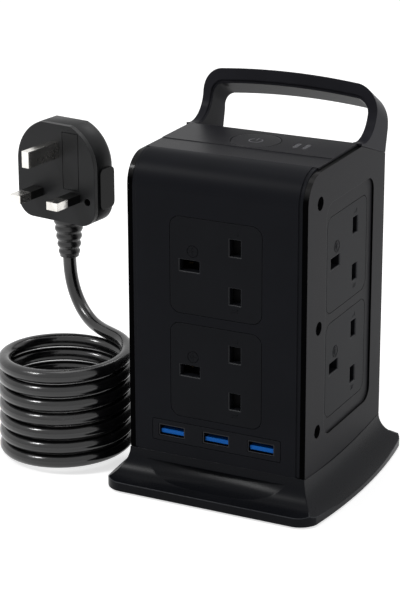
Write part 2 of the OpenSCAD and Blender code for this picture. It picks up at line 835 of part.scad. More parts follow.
module earth_contacts() {
    color([0.78, 0.6, 0.3]) for (k = [0:3]) on_face(k) earth_contact_strip();
}

// A pocket for the leaves of one pin, right through the carrier
module leaf_pocket(x, z, w, h) {
    block([x - w/2, works_d - over, z - h/2], [x + w/2, carrier_back + over, z + h/2]);
}

module contact_carrier() {
    middle = socket_height(0) + socket_pitch/2;
    half = socket_pitch/2 + rail_z;
    line_w = leaf_gap + 2*leaf_t;
    earth_w = earth_leaf_l + strip_t;
    difference() {
        block([-carrier_x, works_d, middle - half], [carrier_x, carrier_back, middle + half]);
        for (side = [-1, 1], row = [0, 1])
            leaf_pocket(line_x, socket_height(row) + side*pin_pitch/2, line_w + 2*fit,
                        line_leaf_l + 2*fit);
        for (row = [0, 1])
            leaf_pocket(earth_leaf_end - fit + earth_w/2, socket_height(row),
                        earth_w, line_w + 2*fit);
        for (side = [-1, 1]) {
            x = side > 0 ? live_strip_x : neutral_strip_x;
            hull() line_channel(side, x);
            for (row = [0, 1]) line_foot_channel(side, x, row);
        }
        block([earth_leaf_end - fit, earth_strip_front, socket_height(0) - line_w/2 - fit],
              [earth_leaf_end + strip_t + fit, carrier_back + over,
               socket_height(1) + line_w/2 + fit]);
    }
}

module line_channel(side, x) {
    z0 = socket_height(0) + side*pin_pitch/2;
    block([x - fit, strip_front, z0 - line_leaf_l/2 - fit],
          [x + strip_w + fit, carrier_back + over, z0 + socket_pitch + line_leaf_l/2 + fit]);
}

module line_foot_channel(side, x, row) {
    z = socket_height(row) + side*pin_pitch/2;
    x0 = min(x, line_x - leaf_gap/2 - leaf_t);
    x1 = max(x + strip_w, line_x + leaf_gap/2 + leaf_t);
    block([x0 - fit, strip_front, z - line_leaf_l/2 - fit],
          [x1 + fit, carrier_back + over, z + line_leaf_l/2 + fit]);
}

module contact_carriers() {
    color([0.75, 0.74, 0.7]) for (k = [0:3]) on_face(k) contact_carrier();
}

// USB strip: plate with three ports, their shells and tongues, and the board that they sit on
shell_t = 0.5;
shell_front = 0.3;
tongue_w = 11.4;
tongue_t = 1.9;
tongue_gap = 0.6;
usb_flange_l = 1.4;
board_side_gap = 5.4;
board_x = cover_hx - wall - board_side_gap;

module usb_plate() {
    color([0.07, 0.07, 0.08]) on_face(0) difference() {
        union() {
            face_bar(usb_w, usb_h, 1 - seam, 0, wall + fit, 0, usb_z);
            face_bar(usb_w + 2*(usb_flange_l + seam), usb_h + 2*(usb_flange_l + seam), 1,
                     wall + fit, wall + fit + usb_flange_t, 0, usb_z);
        }
        for (i = [-1:1])
            face_bar(shell_w + 2*fit, shell_h + 2*fit, shell_t, -over,
                     wall + usb_flange_t + over, i*usb_pitch, usb_z);
    }
}

module usb_shells() {
    color([0.75, 0.75, 0.76]) on_face(0) for (i = [-1:1]) difference() {
        face_bar(shell_w, shell_h, shell_t, shell_front, shell_l, i*usb_pitch, usb_z);
        face_bar(shell_w - 2*shell_t, shell_h - 2*shell_t, shell_t/2, -over, shell_l - shell_t,
                 i*usb_pitch, usb_z);
    }
}

module usb_tongues() {
    color([0.05, 0.25, 0.7]) on_face(0) for (i = [-1:1])
        translate([i*usb_pitch, 0, usb_z - shell_h/2 + shell_t + tongue_gap])
            block([-tongue_w/2, shell_front + over, 0],
                  [tongue_w/2, shell_l - shell_t, tongue_t]);
}

// Rear edge of the board, short of the wires that rise behind it
board_wire_gap = 1.6;
wire_core_gap = 3.9;
wire_y = core_y - wire_core_gap;
board_y1 = wire_y - board_wire_gap;
// The parts on the board stay below the contact carriers
part_room = socket_z - rail_z - board_z;
coil_part_gap = 0.5;
coil_part_x = 10;
coil_part_y = 7;
coil_flange_w = 14;
coil_flange_l = 18;
coil_flange_t = 3;
coil_core_w = 10;
coil_core_l = 14;
can_r = 4;
can_gap = 1.5;
can_x = 9;
can_y = 9;
can_pitch = 10;

module usb_board() {
    color([0.05, 0.3, 0.12])
        block([-board_x, board_y0, board_z - board_t], [board_x, board_y1, board_z]);
}

module usb_transformer() {
    color([0.8, 0.7, 0.2]) translate([-coil_part_x, -coil_part_y, board_z]) {
        block([-coil_flange_w/2, -coil_flange_l/2, 0],
              [coil_flange_w/2, coil_flange_l/2, coil_flange_t]);
        block([-coil_core_w/2, -coil_core_l/2, 0],
              [coil_core_w/2, coil_core_l/2, part_room - coil_part_gap]);
    }
}

module usb_capacitors() {
    color([0.1, 0.1, 0.15]) for (s = [-1, 1])
        translate([can_x, s*can_pitch/2 - can_y, board_z]) cylinder(part_room - can_gap, can_r, can_r);
}

// Surge protection: a board that stands on the supply board, with three varistors
surge_core_gap = 9.5;
surge_y = core_y - surge_core_gap;
surge_w = 28;
surge_top = 95;
varistor_z = 75;
varistor_r = 4.2;
varistor_t = 3.5;
varistor_gap = 0.6;

module surge_board() {
    color([0.05, 0.3, 0.12])
        block([-surge_w/2, surge_y, board_z], [surge_w/2, surge_y + board_t, surge_top]);
}

module varistors() {
    color([0.1, 0.3, 0.6]) for (i = [-1:1])
        translate([i*(2*varistor_r + varistor_gap), surge_y, varistor_z]) rotate([90, 0, 0])
            cylinder(varistor_t, varistor_r, varistor_r);
}

// Power switch under the top plate, its button with the return spring, and the indicators
switch_plate_t = 2;
switch_plate_edge = 3;
switch_x = 14;
switch_y = 9;
switch_l = 18;
stem_r = 3;
stem_end = 7;
cap_flange_t = 1.2;
cap_flange_l = 1.1;
spring_r = 5.6;
spring_wire_r = 0.4;
spring_turns = 4;
lens_board_t = 1.2;
lens_board_w = 9;
lens_board_edge = 2.5;

module power_switch() {
    color([0.12, 0.12, 0.13]) translate([button_x, button_y, 0]) difference() {
        union() {
            block([-switch_boss_x - switch_plate_edge, -switch_boss_y - switch_plate_edge,
                   switch_top - switch_plate_t],
                  [switch_boss_x + switch_plate_edge, switch_boss_y + switch_plate_edge, switch_top]);
            block([-switch_x, -switch_y, switch_top - switch_plate_t - switch_l],
                  [switch_x, switch_y, switch_top - switch_plate_t + over/2]);
        }
        translate([0, 0, switch_top - stem_end - button_travel - run])
            cylinder(stem_end + button_travel + run + over, stem_r + run, stem_r + run);
    }
}

module power_button() {
    under = body_h - wall;
    color([0.12, 0.12, 0.13]) translate([button_x, button_y, 0]) {
        translate([0, 0, under - cap_flange_t])
            cylinder(cap_flange_t, button_d/2 + cap_flange_l + button_gap,
                     button_d/2 + cap_flange_l + button_gap);
        translate([0, 0, under - over/2]) cylinder(wall + over/2, button_d/2, button_d/2);
        translate([0, 0, switch_top - stem_end])
            cylinder(under - over/2 - switch_top + stem_end, stem_r, stem_r);
    }
}

module indicator_board() {
    color([0.05, 0.3, 0.12])
        block([led_x - lens_board_w/2, button_y - led_boss_y - lens_board_edge,
               led_board_top - lens_board_t],
              [led_x + lens_board_w/2, button_y + led_boss_y + lens_board_edge, led_board_top]);
}

module indicator_lenses() {
    color([0.8, 0.8, 0.8]) for (x = lens_xs) translate([x, button_y, led_board_top])
        linear_extrude(body_h - led_board_top) pill(lens_l, lens_w);
}

// Points, headings and rings of a round tube along a route
function unit(v) = v/norm(v);
function heading(p, i) = unit(p[min(i + 1, len(p) - 1)] - p[max(i - 1, 0)]);

function ring(p, t, ref, r, sides) =
    let (s = unit(cross(t, ref)), u = cross(s, t))
    [for (j = [0:sides - 1]) p + r*(cos(360*j/sides)*s + sin(360*j/sides)*u)];

function tube_points(p, ref, r, sides) =
    [for (i = [0:len(p) - 1]) each ring(p[i], heading(p, i), ref, r, sides)];

// The tube between rings is split into triangles, and both ends are closed by fans
function tube_faces(rings, sides) = concat(
    [for (j = [1:sides - 2]) [0, j, j + 1]],
    [for (i = [0:rings - 2], j = [0:sides - 1]) let (k = (j + 1)%sides, a = i*sides, b = a + sides)
        each [[a + j, b + j, b + k], [a + j, b + k, a + k]]],
    [for (j = [1:sides - 2], b = (rings - 1)*sides) [b, b + j + 1, b + j]]);

module tube(p, ref, r, sides) {
    polyhedron(tube_points(p, ref, r, sides), tube_faces(len(p), sides), convexity = 10);
}

// A smooth curve through chosen points, straight at both ends
function with_ends(p) =
    let (n = len(p)) concat([2*p[0] - p[1]], p, [2*p[n - 1] - p[n - 2]]);
function curve_at(q, i, t) = (pow(1 - t, 3)*q[i] + (3*pow(t, 3) - 6*t*t + 4)*q[i + 1]
    + (3*t*t - 3*pow(t, 3) + 3*t + 1)*q[i + 2] + pow(t, 3)*q[i + 3])/6;
function curve(p, steps) =
    let (q = with_ends(p))
    concat([for (i = [0:len(p) - 2], s = [0:steps - 1]) curve_at(q, i, s/steps)],
           [p[len(p) - 1]]);

module button_spring() {
    z0 = switch_top + spring_wire_r;
    rise = body_h - wall - cap_flange_t - spring_wire_r - z0;
    steps = 12*spring_turns;
    color([0.7, 0.7, 0.72])
        tube([for (i = [0:steps]) [button_x + spring_r*cos(360*spring_turns*i/steps),
                                   button_y + spring_r*sin(360*spring_turns*i/steps),
                                   z0 + rise*i/steps]], [0, 0, 1], spring_wire_r, 6);
}

// Strain relief at the tower: clamped behind the rear wall, with ribs that taper to the lead
gland_flange_r = 8;
gland_flange_t = 2.4;
gland_inner_l = 7;
gland_end_r = 4.4;
gland_rib_r = 5.6;
gland_ribs = 5;

// A tapered boot along +Z with rings round it, closed at both ends
module ribbed_boot(length, r0, r1, ribs) {
    pitch = length/(ribs + 1);
    cylinder(length, r0 - cord_d/16, r1 - cord_d/16);
    for (i = [1:ribs]) translate([0, 0, (i - 1/4)*pitch])
        cylinder(pitch/2, r0 + (r1 - r0)*i/(ribs + 1) + cord_d/16,
                 r0 + (r1 - r0)*i/(ribs + 1) + cord_d/16);
}

module cord_gland() {
    color([0.06, 0.06, 0.06]) translate([0, hy, outlet_z]) rotate([-90, 0, 0]) {
        translate([0, 0, -wall - gland_flange_t]) cylinder(gland_flange_t, gland_flange_r, gland_flange_r);
        translate([0, 0, -wall - gland_inner_l]) cylinder(wall + gland_inner_l, gland_r, gland_r);
        ribbed_boot(gland_l, gland_rib_r, gland_end_r, gland_ribs);
    }
}

// Wires from the strain relief up the middle of the tower
wire_r = 1.1;
wire_pitch = 4;
wire_bend_gap = 4;

// A wire through corners that lie on straight lines
module wire(p) {
    for (i = [0:len(p) - 2]) {
        v = p[i + 1] - p[i];
        translate(p[i]) rotate([0, acos(v.z/norm(v)), atan2(v.y, v.x)]) cylinder(norm(v), wire_r, wire_r);
    }
    for (i = [1:1:len(p) - 2]) translate(p[i]) sphere(wire_r, $fn = 24);
}

wire_start_y = hy - wall - gland_inner_l;

module live_wire() {
    top = switch_top - switch_plate_t - switch_l;
    color([0.45, 0.22, 0.1])
        wire([[-wire_pitch, wire_start_y, outlet_z], [-wire_pitch, wire_y, outlet_z],
              [-wire_pitch, wire_y, top - wire_bend_gap], [-wire_pitch, 0, top - wire_bend_gap],
              [-wire_pitch, 0, top]]);
}

module neutral_wire() {
    color([0.1, 0.2, 0.7])
        wire([[0, wire_start_y, outlet_z], [0, wire_y, outlet_z], [0, wire_y, varistor_z],
              [0, surge_y + board_t, varistor_z]]);
}

module earth_wire() {
    color([0.3, 0.6, 0.15])
        wire([[wire_pitch, wire_start_y, outlet_z], [wire_pitch, wire_y, outlet_z],
              [wire_pitch, wire_y, varistor_z/2 + surge_top/8],
              [wire_pitch, surge_y + board_t, varistor_z/2 + surge_top/8]]);
}

// The lead: from the strain relief to the coil, round the coil, and up to the plug
cord_r = cord_d/2;
coil_x = -(hx + flare + coil_gap + coil_r + cord_r);
coil_centre = [coil_x, coil_y, cord_r];
coil_start = 150;
coil_end = 63;
coil_turns = 7 - (coil_start - coil_end)/360;
loop_rings = 24;
coil_heading = [-sin(coil_start), cos(coil_start), 0];
rise_heading = [-sin(coil_end), cos(coil_end), 0];
coil_first = coil_centre + coil_r*[cos(coil_start), sin(coil_start), 0];
coil_last = coil_centre + [coil_r*cos(coil_end), coil_r*sin(coil_end), coil_pitch*coil_turns];
lead_end = coil_first - cord_d*coil_heading;
rise_start = coil_last + cord_d*rise_heading;
gland_end = [0, hy + gland_l, outlet_z];

// Points chosen by hand: from the strain relief backwards and down, then round to the coil
lead_near = [[0, 8, 0], [0, 16, -0.5], [-3, 29, -2.5], [-12, 40, -6], [-25, 46, -10.5],
             [-39, 46, -15]];
lead_far = [[40, 130, 4.7], [31, 119, 1.9], [23, 106, 0.6], [15, 92, 0.1], [6, 76, 0]];
lead_points = concat([gland_end], [for (v = lead_near) gland_end + v],
                     [for (v = lead_far) coil_centre + v],
                     [for (s = [28, 14, 0]) lead_end - s*coil_heading]);

// Along the last heading of the coil and up, chosen by hand
rise_points = [[0, 0], [6, 0], [13, 0.9], [19.5, 3.6], [25.1, 7.9], [29.4, 13.5], [32.1, 20],
               [33, 27], [33, 30.5]];
upright_points = [for (v = rise_points) rise_start + v[0]*rise_heading + [0, 0, v[1]]];
upright_end = upright_points[len(upright_points) - 1];

lead_route = curve(lead_points, 2);
upright_route = curve(upright_points, 2);
coil_route = concat([lead_end],
    [for (i = [0:ceil(coil_turns*loop_rings)])
        let (s = i/ceil(coil_turns*loop_rings), a = coil_start + 360*coil_turns*s)
        coil_centre + [coil_r*cos(a), coil_r*sin(a), coil_pitch*coil_turns*s]],
    [rise_start]);

// Least distance between the coil's surface points one turn or more apart
coil_skin = tube_points(coil_route, [0, 0, 1], cord_r, 6);
coil_ring_count = len(coil_route);
function ring_gap(i, k) = min([for (a = [0:5], b = [0:5]) norm(coil_skin[6*i + a] - coil_skin[6*k + b])]);
function coil_gap_measured() = min([for (i = [0:coil_ring_count - 1 - loop_rings/2],
                                         k = [i + loop_rings/2:min(i + 3*loop_rings/2,
                                                                   coil_ring_count - 1)])
    if (norm(coil_route[i] - coil_route[k]) < 2*coil_pitch) ring_gap(i, k)]);

module cord_lead() {
    color([0.04, 0.04, 0.04]) tube(lead_route, [0, 0, 1], cord_r, 10);
}

module cord_coil() {
    color([0.04, 0.04, 0.04]) tube(coil_route, [0, 0, 1], cord_r, 6);
}

module cord_upright() {
    color([0.04, 0.04, 0.04]) tube(upright_route, [0, 0, 1] - rise_heading, cord_r, 10);
}

// Plug: stands on its strain relief, with its pins towards the front
plug_low_r = 8.5;
shoulder_arc_r = 22;
// How far a shoulder comes in at the plug's flat top
shoulder_in = 14;
shoulder_rise = sqrt(shoulder_in*(2*shoulder_arc_r - shoulder_in));
shoulder_z = plug_h - shoulder_rise;
plug_face_t = 2.5;
plug_taper = 0.82;
plug_rear_t = 6;
pin_line_z = 13.5;
line_pin_w = 6.35;
line_pin_l = 17.7;
earth_pin_out = 22.7;
pin_root = 8;
sleeve_l = 9.5;
sleeve_t = 0.6;
grip_h = 20;
grip_d = 11;
grip_t = 0.6;
fuse_l = 25.4;
fuse_r = 3.15;
fuse_cap_l = 6;
carrier_w = 9;
carrier_end = 1;
carrier_h = fuse_l + 2*carrier_end;
carrier_x0 = 4.5;
carrier_z0 = 17.2;
carrier_d = 12;
neck_top_r = 7.2;
neck_end_r = 4.6;
neck_ribs = 4;

module at_plug() {
    translate(upright_end + [0, 0, neck_l]) rotate([0, 0, -plug_yaw]) children();
}

module plug_outline(inset) {
    lr = plug_low_r - inset;
    half = plug_w/2 - inset;
    translate([-half + lr, inset]) square([2*(half - lr), shoulder_z - inset]);
    translate([-half, plug_low_r]) square([2*half, shoulder_z - plug_low_r]);
    for (s = [-1, 1]) {
        translate([s*(half - lr), plug_low_r]) circle(lr, $fn = 48);
        intersection() {
            translate([s*(plug_w/2 - shoulder_arc_r), shoulder_z])
                circle(shoulder_arc_r - inset, $fn = 96);
            translate([-plug_w, plug_low_r]) square([2*plug_w, plug_h - inset - plug_low_r]);
        }
    }
}

// A slice of the plug's outline between two depths from its face
module plug_slice(from, to, inset = 0) {
    translate([0, to - plug_t/2, 0]) rotate([90, 0, 0]) linear_extrude(to - from)
        plug_outline(inset);
}

module pin_box(x, z, w, h, from, to) {
    block([x - w/2, from - plug_t/2, z - h/2], [x + w/2, to - plug_t/2, z + h/2]);
}

// Every pin with its sleeve's outer size, between two depths from the face
module pin_bodies(gap, from, to) {
    for (s = [-1, 1])
        pin_box(s*pin_pitch/2, pin_line_z, line_pin_w + 2*gap, pin_w + 2*gap, from, to);
    pin_box(0, pin_line_z + pin_pitch, pin_w + 2*gap, earth_pin_l + 2*gap, from, to);
}

module carrier_block(gap, from, to) {
    block([carrier_x0 - gap, from - plug_t/2, carrier_z0 - gap],
          [carrier_x0 + carrier_w + gap, to - plug_t/2, carrier_z0 + carrier_h + gap]);
}

// The screw that holds the plug's face lies in a bore beside the live pin
plug_screw_x = 18.6;
plug_screw_z = 12.4;
plug_screw_r = 1.5;
plug_screw_t = 1;
plug_screw_drop = 0.4;
plug_screw_shank_r = 0.7;
plug_screw_l = 8;

module plug_screw_bore(r, depth) {
    translate([plug_screw_x, -over - plug_t/2, plug_screw_z]) rotate([-90, 0, 0])
        cylinder(depth + over, r, r);
}

module plug_body() {
    color([0.08, 0.08, 0.09]) at_plug() difference() {
        union() {
            plug_slice(plug_face_t, plug_t - plug_rear_t);
            hull() {
                plug_slice(plug_t - plug_rear_t, plug_t - plug_rear_t + fit);
                translate([0, 0, (1 - plug_taper)*plug_h/2]) scale(plug_taper)
                    translate([0, plug_t*(1 - plug_taper)/(2*plug_taper), 0])
                        plug_slice(plug_t - fit, plug_t);
            }
        }
        pin_bodies(0, plug_face_t - over, pin_root);
        carrier_block(run, -over, carrier_d + run);
        plug_screw_bore(plug_screw_shank_r, plug_screw_l + over);
    }
}

module plug_face() {
    color([0.08, 0.08, 0.09]) at_plug() difference() {
        plug_slice(0, plug_face_t);
        pin_bodies(0, -over, plug_face_t + over);
        carrier_block(run, -over, plug_face_t + over);
        plug_screw_bore(plug_screw_r + run, plug_screw_t + plug_screw_drop);
        plug_screw_bore(plug_screw_shank_r + run, plug_face_t + over);
    }
}

module plug_screw() {
    color([0.3, 0.3, 0.3]) at_plug()
        translate([plug_screw_x, plug_screw_drop - plug_t/2, plug_screw_z]) rotate([-90, 0, 0])
            screw(plug_screw_r, plug_screw_t, plug_screw_shank_r - fit, plug_screw_l - plug_screw_drop);
}

module plug_pins() {
    color([0.8, 0.78, 0.74]) at_plug() {
        for (s = [-1, 1]) {
            pin_box(s*pin_pitch/2, pin_line_z, line_pin_w, pin_w, 0, pin_root);
            pin_box(s*pin_pitch/2, pin_line_z, line_pin_w - 2*sleeve_t, pin_w - 2*sleeve_t,
                    -sleeve_l - over, over);
            pin_box(s*pin_pitch/2, pin_line_z, line_pin_w, pin_w, -line_pin_l, -sleeve_l);
        }
        pin_box(0, pin_line_z + pin_pitch, pin_w, earth_pin_l, -earth_pin_out, pin_root);
    }
}

module pin_sleeves() {
    color([0.05, 0.05, 0.05]) at_plug() for (s = [-1, 1]) difference() {
        pin_box(s*pin_pitch/2, pin_line_z, line_pin_w, pin_w, -sleeve_l, 0);
        pin_box(s*pin_pitch/2, pin_line_z, line_pin_w - 2*sleeve_t, pin_w - 2*sleeve_t,
                -sleeve_l - over, over);
    }
}

module plug_grips() {
    mid = plug_low_r + (shoulder_z - plug_low_r)/2;
    color([0.03, 0.03, 0.03]) at_plug() for (s = [-1, 1])
        translate([s*(plug_w/2 + grip_t/2), 0, mid]) rotate([90, 0, 90])
            linear_extrude(grip_t, center = true) rounded(grip_d, grip_h, grip_d/4);
}

// The fuse lies upright in a trough that is open at the carrier's back
fuse_x = carrier_x0 + carrier_w/2;
fuse_y = 6.6;

module fuse_carrier() {
    color([0.1, 0.1, 0.11]) at_plug() difference() {
        carrier_block(0, 0, carrier_d);
        translate([fuse_x, fuse_y - plug_t/2, carrier_z0 + (carrier_h - fuse_l)/2 - fit])
            cylinder(fuse_l + 2*fit, fuse_r + fit, fuse_r + fit);
        block([fuse_x - fuse_r - fit, fuse_y - plug_t/2, carrier_z0 + (carrier_h - fuse_l)/2 - fit],
              [fuse_x + fuse_r + fit, carrier_d + over - plug_t/2,
               carrier_z0 + (carrier_h + fuse_l)/2 + fit]);
    }
}

module fuse() {
    color([0.85, 0.84, 0.8]) at_plug()
        translate([fuse_x, fuse_y - plug_t/2, carrier_z0 + (carrier_h - fuse_l)/2]) {
            cylinder(fuse_l, fuse_r - fit, fuse_r - fit);
            for (z = [0, fuse_l - fuse_cap_l]) translate([0, 0, z])
                cylinder(fuse_cap_l, fuse_r, fuse_r);
        }
}

module plug_strain_relief() {
    color([0.06, 0.06, 0.06]) at_plug() rotate([180, 0, 0])
        ribbed_boot(neck_l, neck_top_r, neck_end_r, neck_ribs);
}

echo(least_gap_of_the_coil = coil_gap_measured());  // cord_coil

front_cover();
rear_cover();
left_side_panel();
right_side_panel();
top_plate();
handle();
base_skirt();
base_plate();
rubber_feet();
socket_front_upper();
socket_front_lower();
socket_right_upper();
socket_right_lower();
socket_rear_upper();
socket_rear_lower();
socket_left_upper();
socket_left_lower();
shutter_front_upper();
shutter_front_lower();
shutter_right_upper();
shutter_right_lower();
shutter_rear_upper();
shutter_rear_lower();
shutter_left_upper();
shutter_left_lower();
contact_carriers();
live_contacts();
neutral_contacts();
earth_contacts();
usb_plate();
usb_shells();
usb_tongues();
usb_board();
usb_transformer();
usb_capacitors();
power_switch();
power_button();
button_spring();
indicator_lenses();
indicator_board();
surge_board();
varistors();
side_screws();
base_screws();
live_wire();
neutral_wire();
earth_wire();
cord_gland();
cord_lead();
cord_coil();
cord_upright();
plug_strain_relief();
plug_body();
plug_face();
plug_grips();
plug_pins();
pin_sleeves();
plug_screw();
fuse_carrier();
fuse();
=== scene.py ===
import math

import bmesh
import bpy
from mathutils import Matrix, Vector


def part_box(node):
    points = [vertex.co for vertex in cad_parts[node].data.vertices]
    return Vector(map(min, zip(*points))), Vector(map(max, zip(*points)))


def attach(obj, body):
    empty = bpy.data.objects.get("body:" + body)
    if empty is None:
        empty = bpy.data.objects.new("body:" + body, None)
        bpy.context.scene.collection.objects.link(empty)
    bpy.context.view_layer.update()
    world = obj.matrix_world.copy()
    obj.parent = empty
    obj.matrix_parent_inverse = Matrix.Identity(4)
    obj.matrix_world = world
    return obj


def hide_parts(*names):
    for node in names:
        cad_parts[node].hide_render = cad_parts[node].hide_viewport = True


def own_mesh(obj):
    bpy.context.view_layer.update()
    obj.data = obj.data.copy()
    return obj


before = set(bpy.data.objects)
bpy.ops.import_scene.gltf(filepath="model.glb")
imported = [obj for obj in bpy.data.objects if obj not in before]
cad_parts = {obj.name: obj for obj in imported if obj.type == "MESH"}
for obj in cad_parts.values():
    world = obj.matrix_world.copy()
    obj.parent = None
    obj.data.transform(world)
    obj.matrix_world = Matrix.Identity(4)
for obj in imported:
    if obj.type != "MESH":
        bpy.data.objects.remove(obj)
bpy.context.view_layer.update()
scene = bpy.context.scene
scene.view_settings.view_transform = "Standard"


# Camera
# The photograph was taken from about a metre away through a long lens, to the right of the
# front and about 19 degrees above the level. Place, turn and lens come from a fit to points
# of the photograph.
camera_place = Vector((0.3980, -0.8538, 0.4139))
camera_target = Vector((-0.0290, 0.0005, 0.0770))
camera_lens = 131.13
camera_roll = math.radians(-0.2)
camera_shift = (-0.00207, 0.00187)

camera_data = bpy.data.cameras.new("camera")
camera_data.sensor_fit = "AUTO"
camera_data.sensor_width = 36
camera_data.lens = camera_lens
camera_data.shift_x, camera_data.shift_y = camera_shift
camera_data.clip_start = 0.01
camera = bpy.data.objects.new("camera", camera_data)
scene.collection.objects.link(camera)
camera_turn = (camera_target - camera_place).to_track_quat("-Z", "Y").to_matrix().to_4x4()
camera.matrix_world = (
    Matrix.Translation(camera_place) @ camera_turn @ Matrix.Rotation(camera_roll, 4, "Z"))
scene.camera = camera


# Mains lead
# Round black vinyl lead, 6.5 mm thick. It leaves the strain relief at the rear, runs round
# to the left, lies in a coil of nearly seven turns, and rises from the coil to the plug.
cord_thickness = 0.0065
cord_radius = cord_thickness / 2
coil_radius = 0.029
coil_pitch = 0.007
coil_centre = Vector((-0.08945, -0.0215, cord_radius))
coil_start = math.radians(150)
coil_end = math.radians(63 + 7 * 360)
turn_points = 72
route_steps = 6
gland_end = Vector((0, 0.0715, 0.027))
# In millimetres: from the outlet, from the coil's centre, back along the lead from the coil's
# start, and the run and height of the rise.
MM = 0.001
lead_near = [(0, 8, 0), (0, 16, -0.5), (-3, 29, -2.5), (-12, 40, -6), (-25, 46, -10.5),
             (-39, 46, -15)]
lead_far = [(40, 130, 4.7), (31, 119, 1.9), (23, 106, 0.6), (15, 92, 0.1), (6, 76, 0)]
lead_last = [28, 14, 0]
rise_points = [(0, 0), (6, 0), (13, 0.9), (19.5, 3.6), (25.1, 7.9), (29.4, 13.5), (32.1, 20),
               (33, 27), (33, 30.5)]


def heading_at(angle):
    """The way that the lead runs at an angle of the coil."""
    return Vector((-math.sin(angle), math.cos(angle), 0))


def place_on_coil(angle):
    """The middle of the lead at an angle of the coil, which climbs by its pitch each turn."""
    turns = (angle - coil_start) / math.tau
    return coil_centre + Vector((coil_radius * math.cos(angle), coil_radius * math.sin(angle),
                                 coil_pitch * turns))


def smooth_route(points, steps):
    """A uniform cubic curve that starts and ends on the first and last points."""
    ends = [2 * points[0] - points[1], *points, 2 * points[-1] - points[-2]]
    route = []
    for i in range(len(points) - 1):
        a, b, c, d = ends[i:i + 4]
        for step in range(steps):
            t = step / steps
            route.append(((1 - t) ** 3 * a + (3 * t ** 3 - 6 * t * t + 4) * b
                          + (3 * t * t - 3 * t ** 3 + 3 * t + 1) * c + t ** 3 * d) / 6)
    return route + [points[-1]]


lead_end = place_on_coil(coil_start) - cord_thickness * heading_at(coil_start)
rise_start = place_on_coil(coil_end) + cord_thickness * heading_at(coil_end)
lead_points = [gland_end] + [gland_end + MM * Vector(v) for v in lead_near]
lead_points += [coil_centre + MM * Vector(v) for v in lead_far]
lead_points += [lead_end - MM * s * heading_at(coil_start) for s in lead_last]
upright_points = [rise_start + MM * run * heading_at(coil_end) + Vector((0, 0, MM * rise))
                  for run, rise in rise_points]
coil_steps = round((coil_end - coil_start) / math.tau * turn_points)
coil_points = [place_on_coil(coil_start + (coil_end - coil_start) * i / coil_steps)
               for i in range(coil_steps + 1)]
cord_points = [*smooth_route(lead_points, route_steps), *coil_points,
               *smooth_route(upright_points, route_steps)]

cord_curve = bpy.data.curves.new("mains_lead", "CURVE")
cord_curve.dimensions = "3D"
# The points carry the radius and the bevel is 1, because the box that Blender gives a curve
# is wider than its skin by the radius of its points.
cord_curve.bevel_depth = 1.0
cord_curve.bevel_resolution = 6
cord_curve.use_fill_caps = True
spline = cord_curve.splines.new("POLY")
spline.points.add(len(cord_points) - 1)
spline.points.foreach_set("radius", [cord_radius] * len(cord_points))
for point, place in zip(spline.points, cord_points):
    point.co = (*place, 1)
mains_lead = bpy.data.objects.new("mains_lead", cord_curve)
scene.collection.objects.link(mains_lead)
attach(mains_lead, "tower")
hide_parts("cord_lead", "cord_coil", "cord_upright")


class Value:
    """A socket of a material; arithmetic on it adds Math nodes."""

    def __init__(self, tree, socket=None):
        self.tree, self.socket = tree, socket

    def node(self, kind, settings, inputs, output=0):
        """Adds a node: its settings first, then the values or links of its sockets."""
        made = self.tree.nodes.new("ShaderNode" + kind)
        for name, value in settings.items():
            setattr(made, name, value)
        for name, value in inputs.items():
            if isinstance(value, Value):
                self.tree.links.new(value.socket, made.inputs[name])
            else:
                made.inputs[name].default_value = value
        return Value(self.tree, made.outputs[output])

    def math(self, operation, *values):
        return self.node("Math", {"operation": operation}, dict(enumerate(values)))

    def __add__(self, other):
        return self.math("ADD", self, other)

    def __sub__(self, other):
        return self.math("SUBTRACT", self, other)

    def __rsub__(self, other):
        return self.math("SUBTRACT", other, self)

    def __mul__(self, other):
        return self.math("MULTIPLY", self, other)

    __radd__ = __add__
    __rmul__ = __mul__

    def over(self, low, high):
        """0 below low, 1 above high, smooth between."""
        return self.node("MapRange", {"interpolation_type": "SMOOTHSTEP"},
                         {"Value": self, "From Min": low, "From Max": high})

    def blend(self, first, second):
        """The first colour where this is 0, the second where it is 1."""
        return self.node("Mix", {"data_type": "RGBA"}, {0: self, 6: first, 7: second}, output=2)


def new_material(name):
    """A material with its shader and a Value that starts its expressions."""
    material = bpy.data.materials.new(name)
    material.use_nodes = True
    tree = material.node_tree
    return material, tree.nodes["Principled BSDF"], Value(tree)


def feed(shader, sockets):
    """Sets a shader's sockets: a Value is linked, a number or a colour is set."""
    for name, value in sockets.items():
        if isinstance(value, Value):
            value.tree.links.new(value.socket, shader.inputs[name])
        else:
            shader.inputs[name].default_value = value


def show(surface):
    """Makes a shader the one that its material shows."""
    output = surface.tree.nodes["Material Output"]
    surface.tree.links.new(surface.socket, output.inputs["Surface"])


def noise(start, size, detail=3.0):
    """Noise whose lumps are about size metres across, in the object's own space."""
    place = start.node("TexCoord", {}, {}, output="Object")
    return start.node("TexNoise", {}, {"Vector": place, "Scale": 1 / size, "Detail": detail})


def vinyl(name, colour, sheen):
    """Soft glossy vinyl: slight waves from the extruder, dust in a few places."""
    material, shader, start = new_material(name)
    waves = noise(start, 0.004, 2.0)
    dull = noise(start, 0.011).over(0.45, 0.75)
    feed(shader, {
        "Base Color": dull.blend((*colour, 1), (*[1.6 * c + 0.004 for c in colour], 1)),
        "Roughness": sheen + 0.12 * dull,
        "Specular IOR Level": 0.6,
        "Normal": start.node("Bump", {}, {"Strength": 0.25, "Distance": 0.0003, "Height": waves}),
    })
    return material


cord_vinyl = vinyl("cord_vinyl", (0.004, 0.004, 0.0045), 0.17)
cord_curve.materials.append(cord_vinyl)


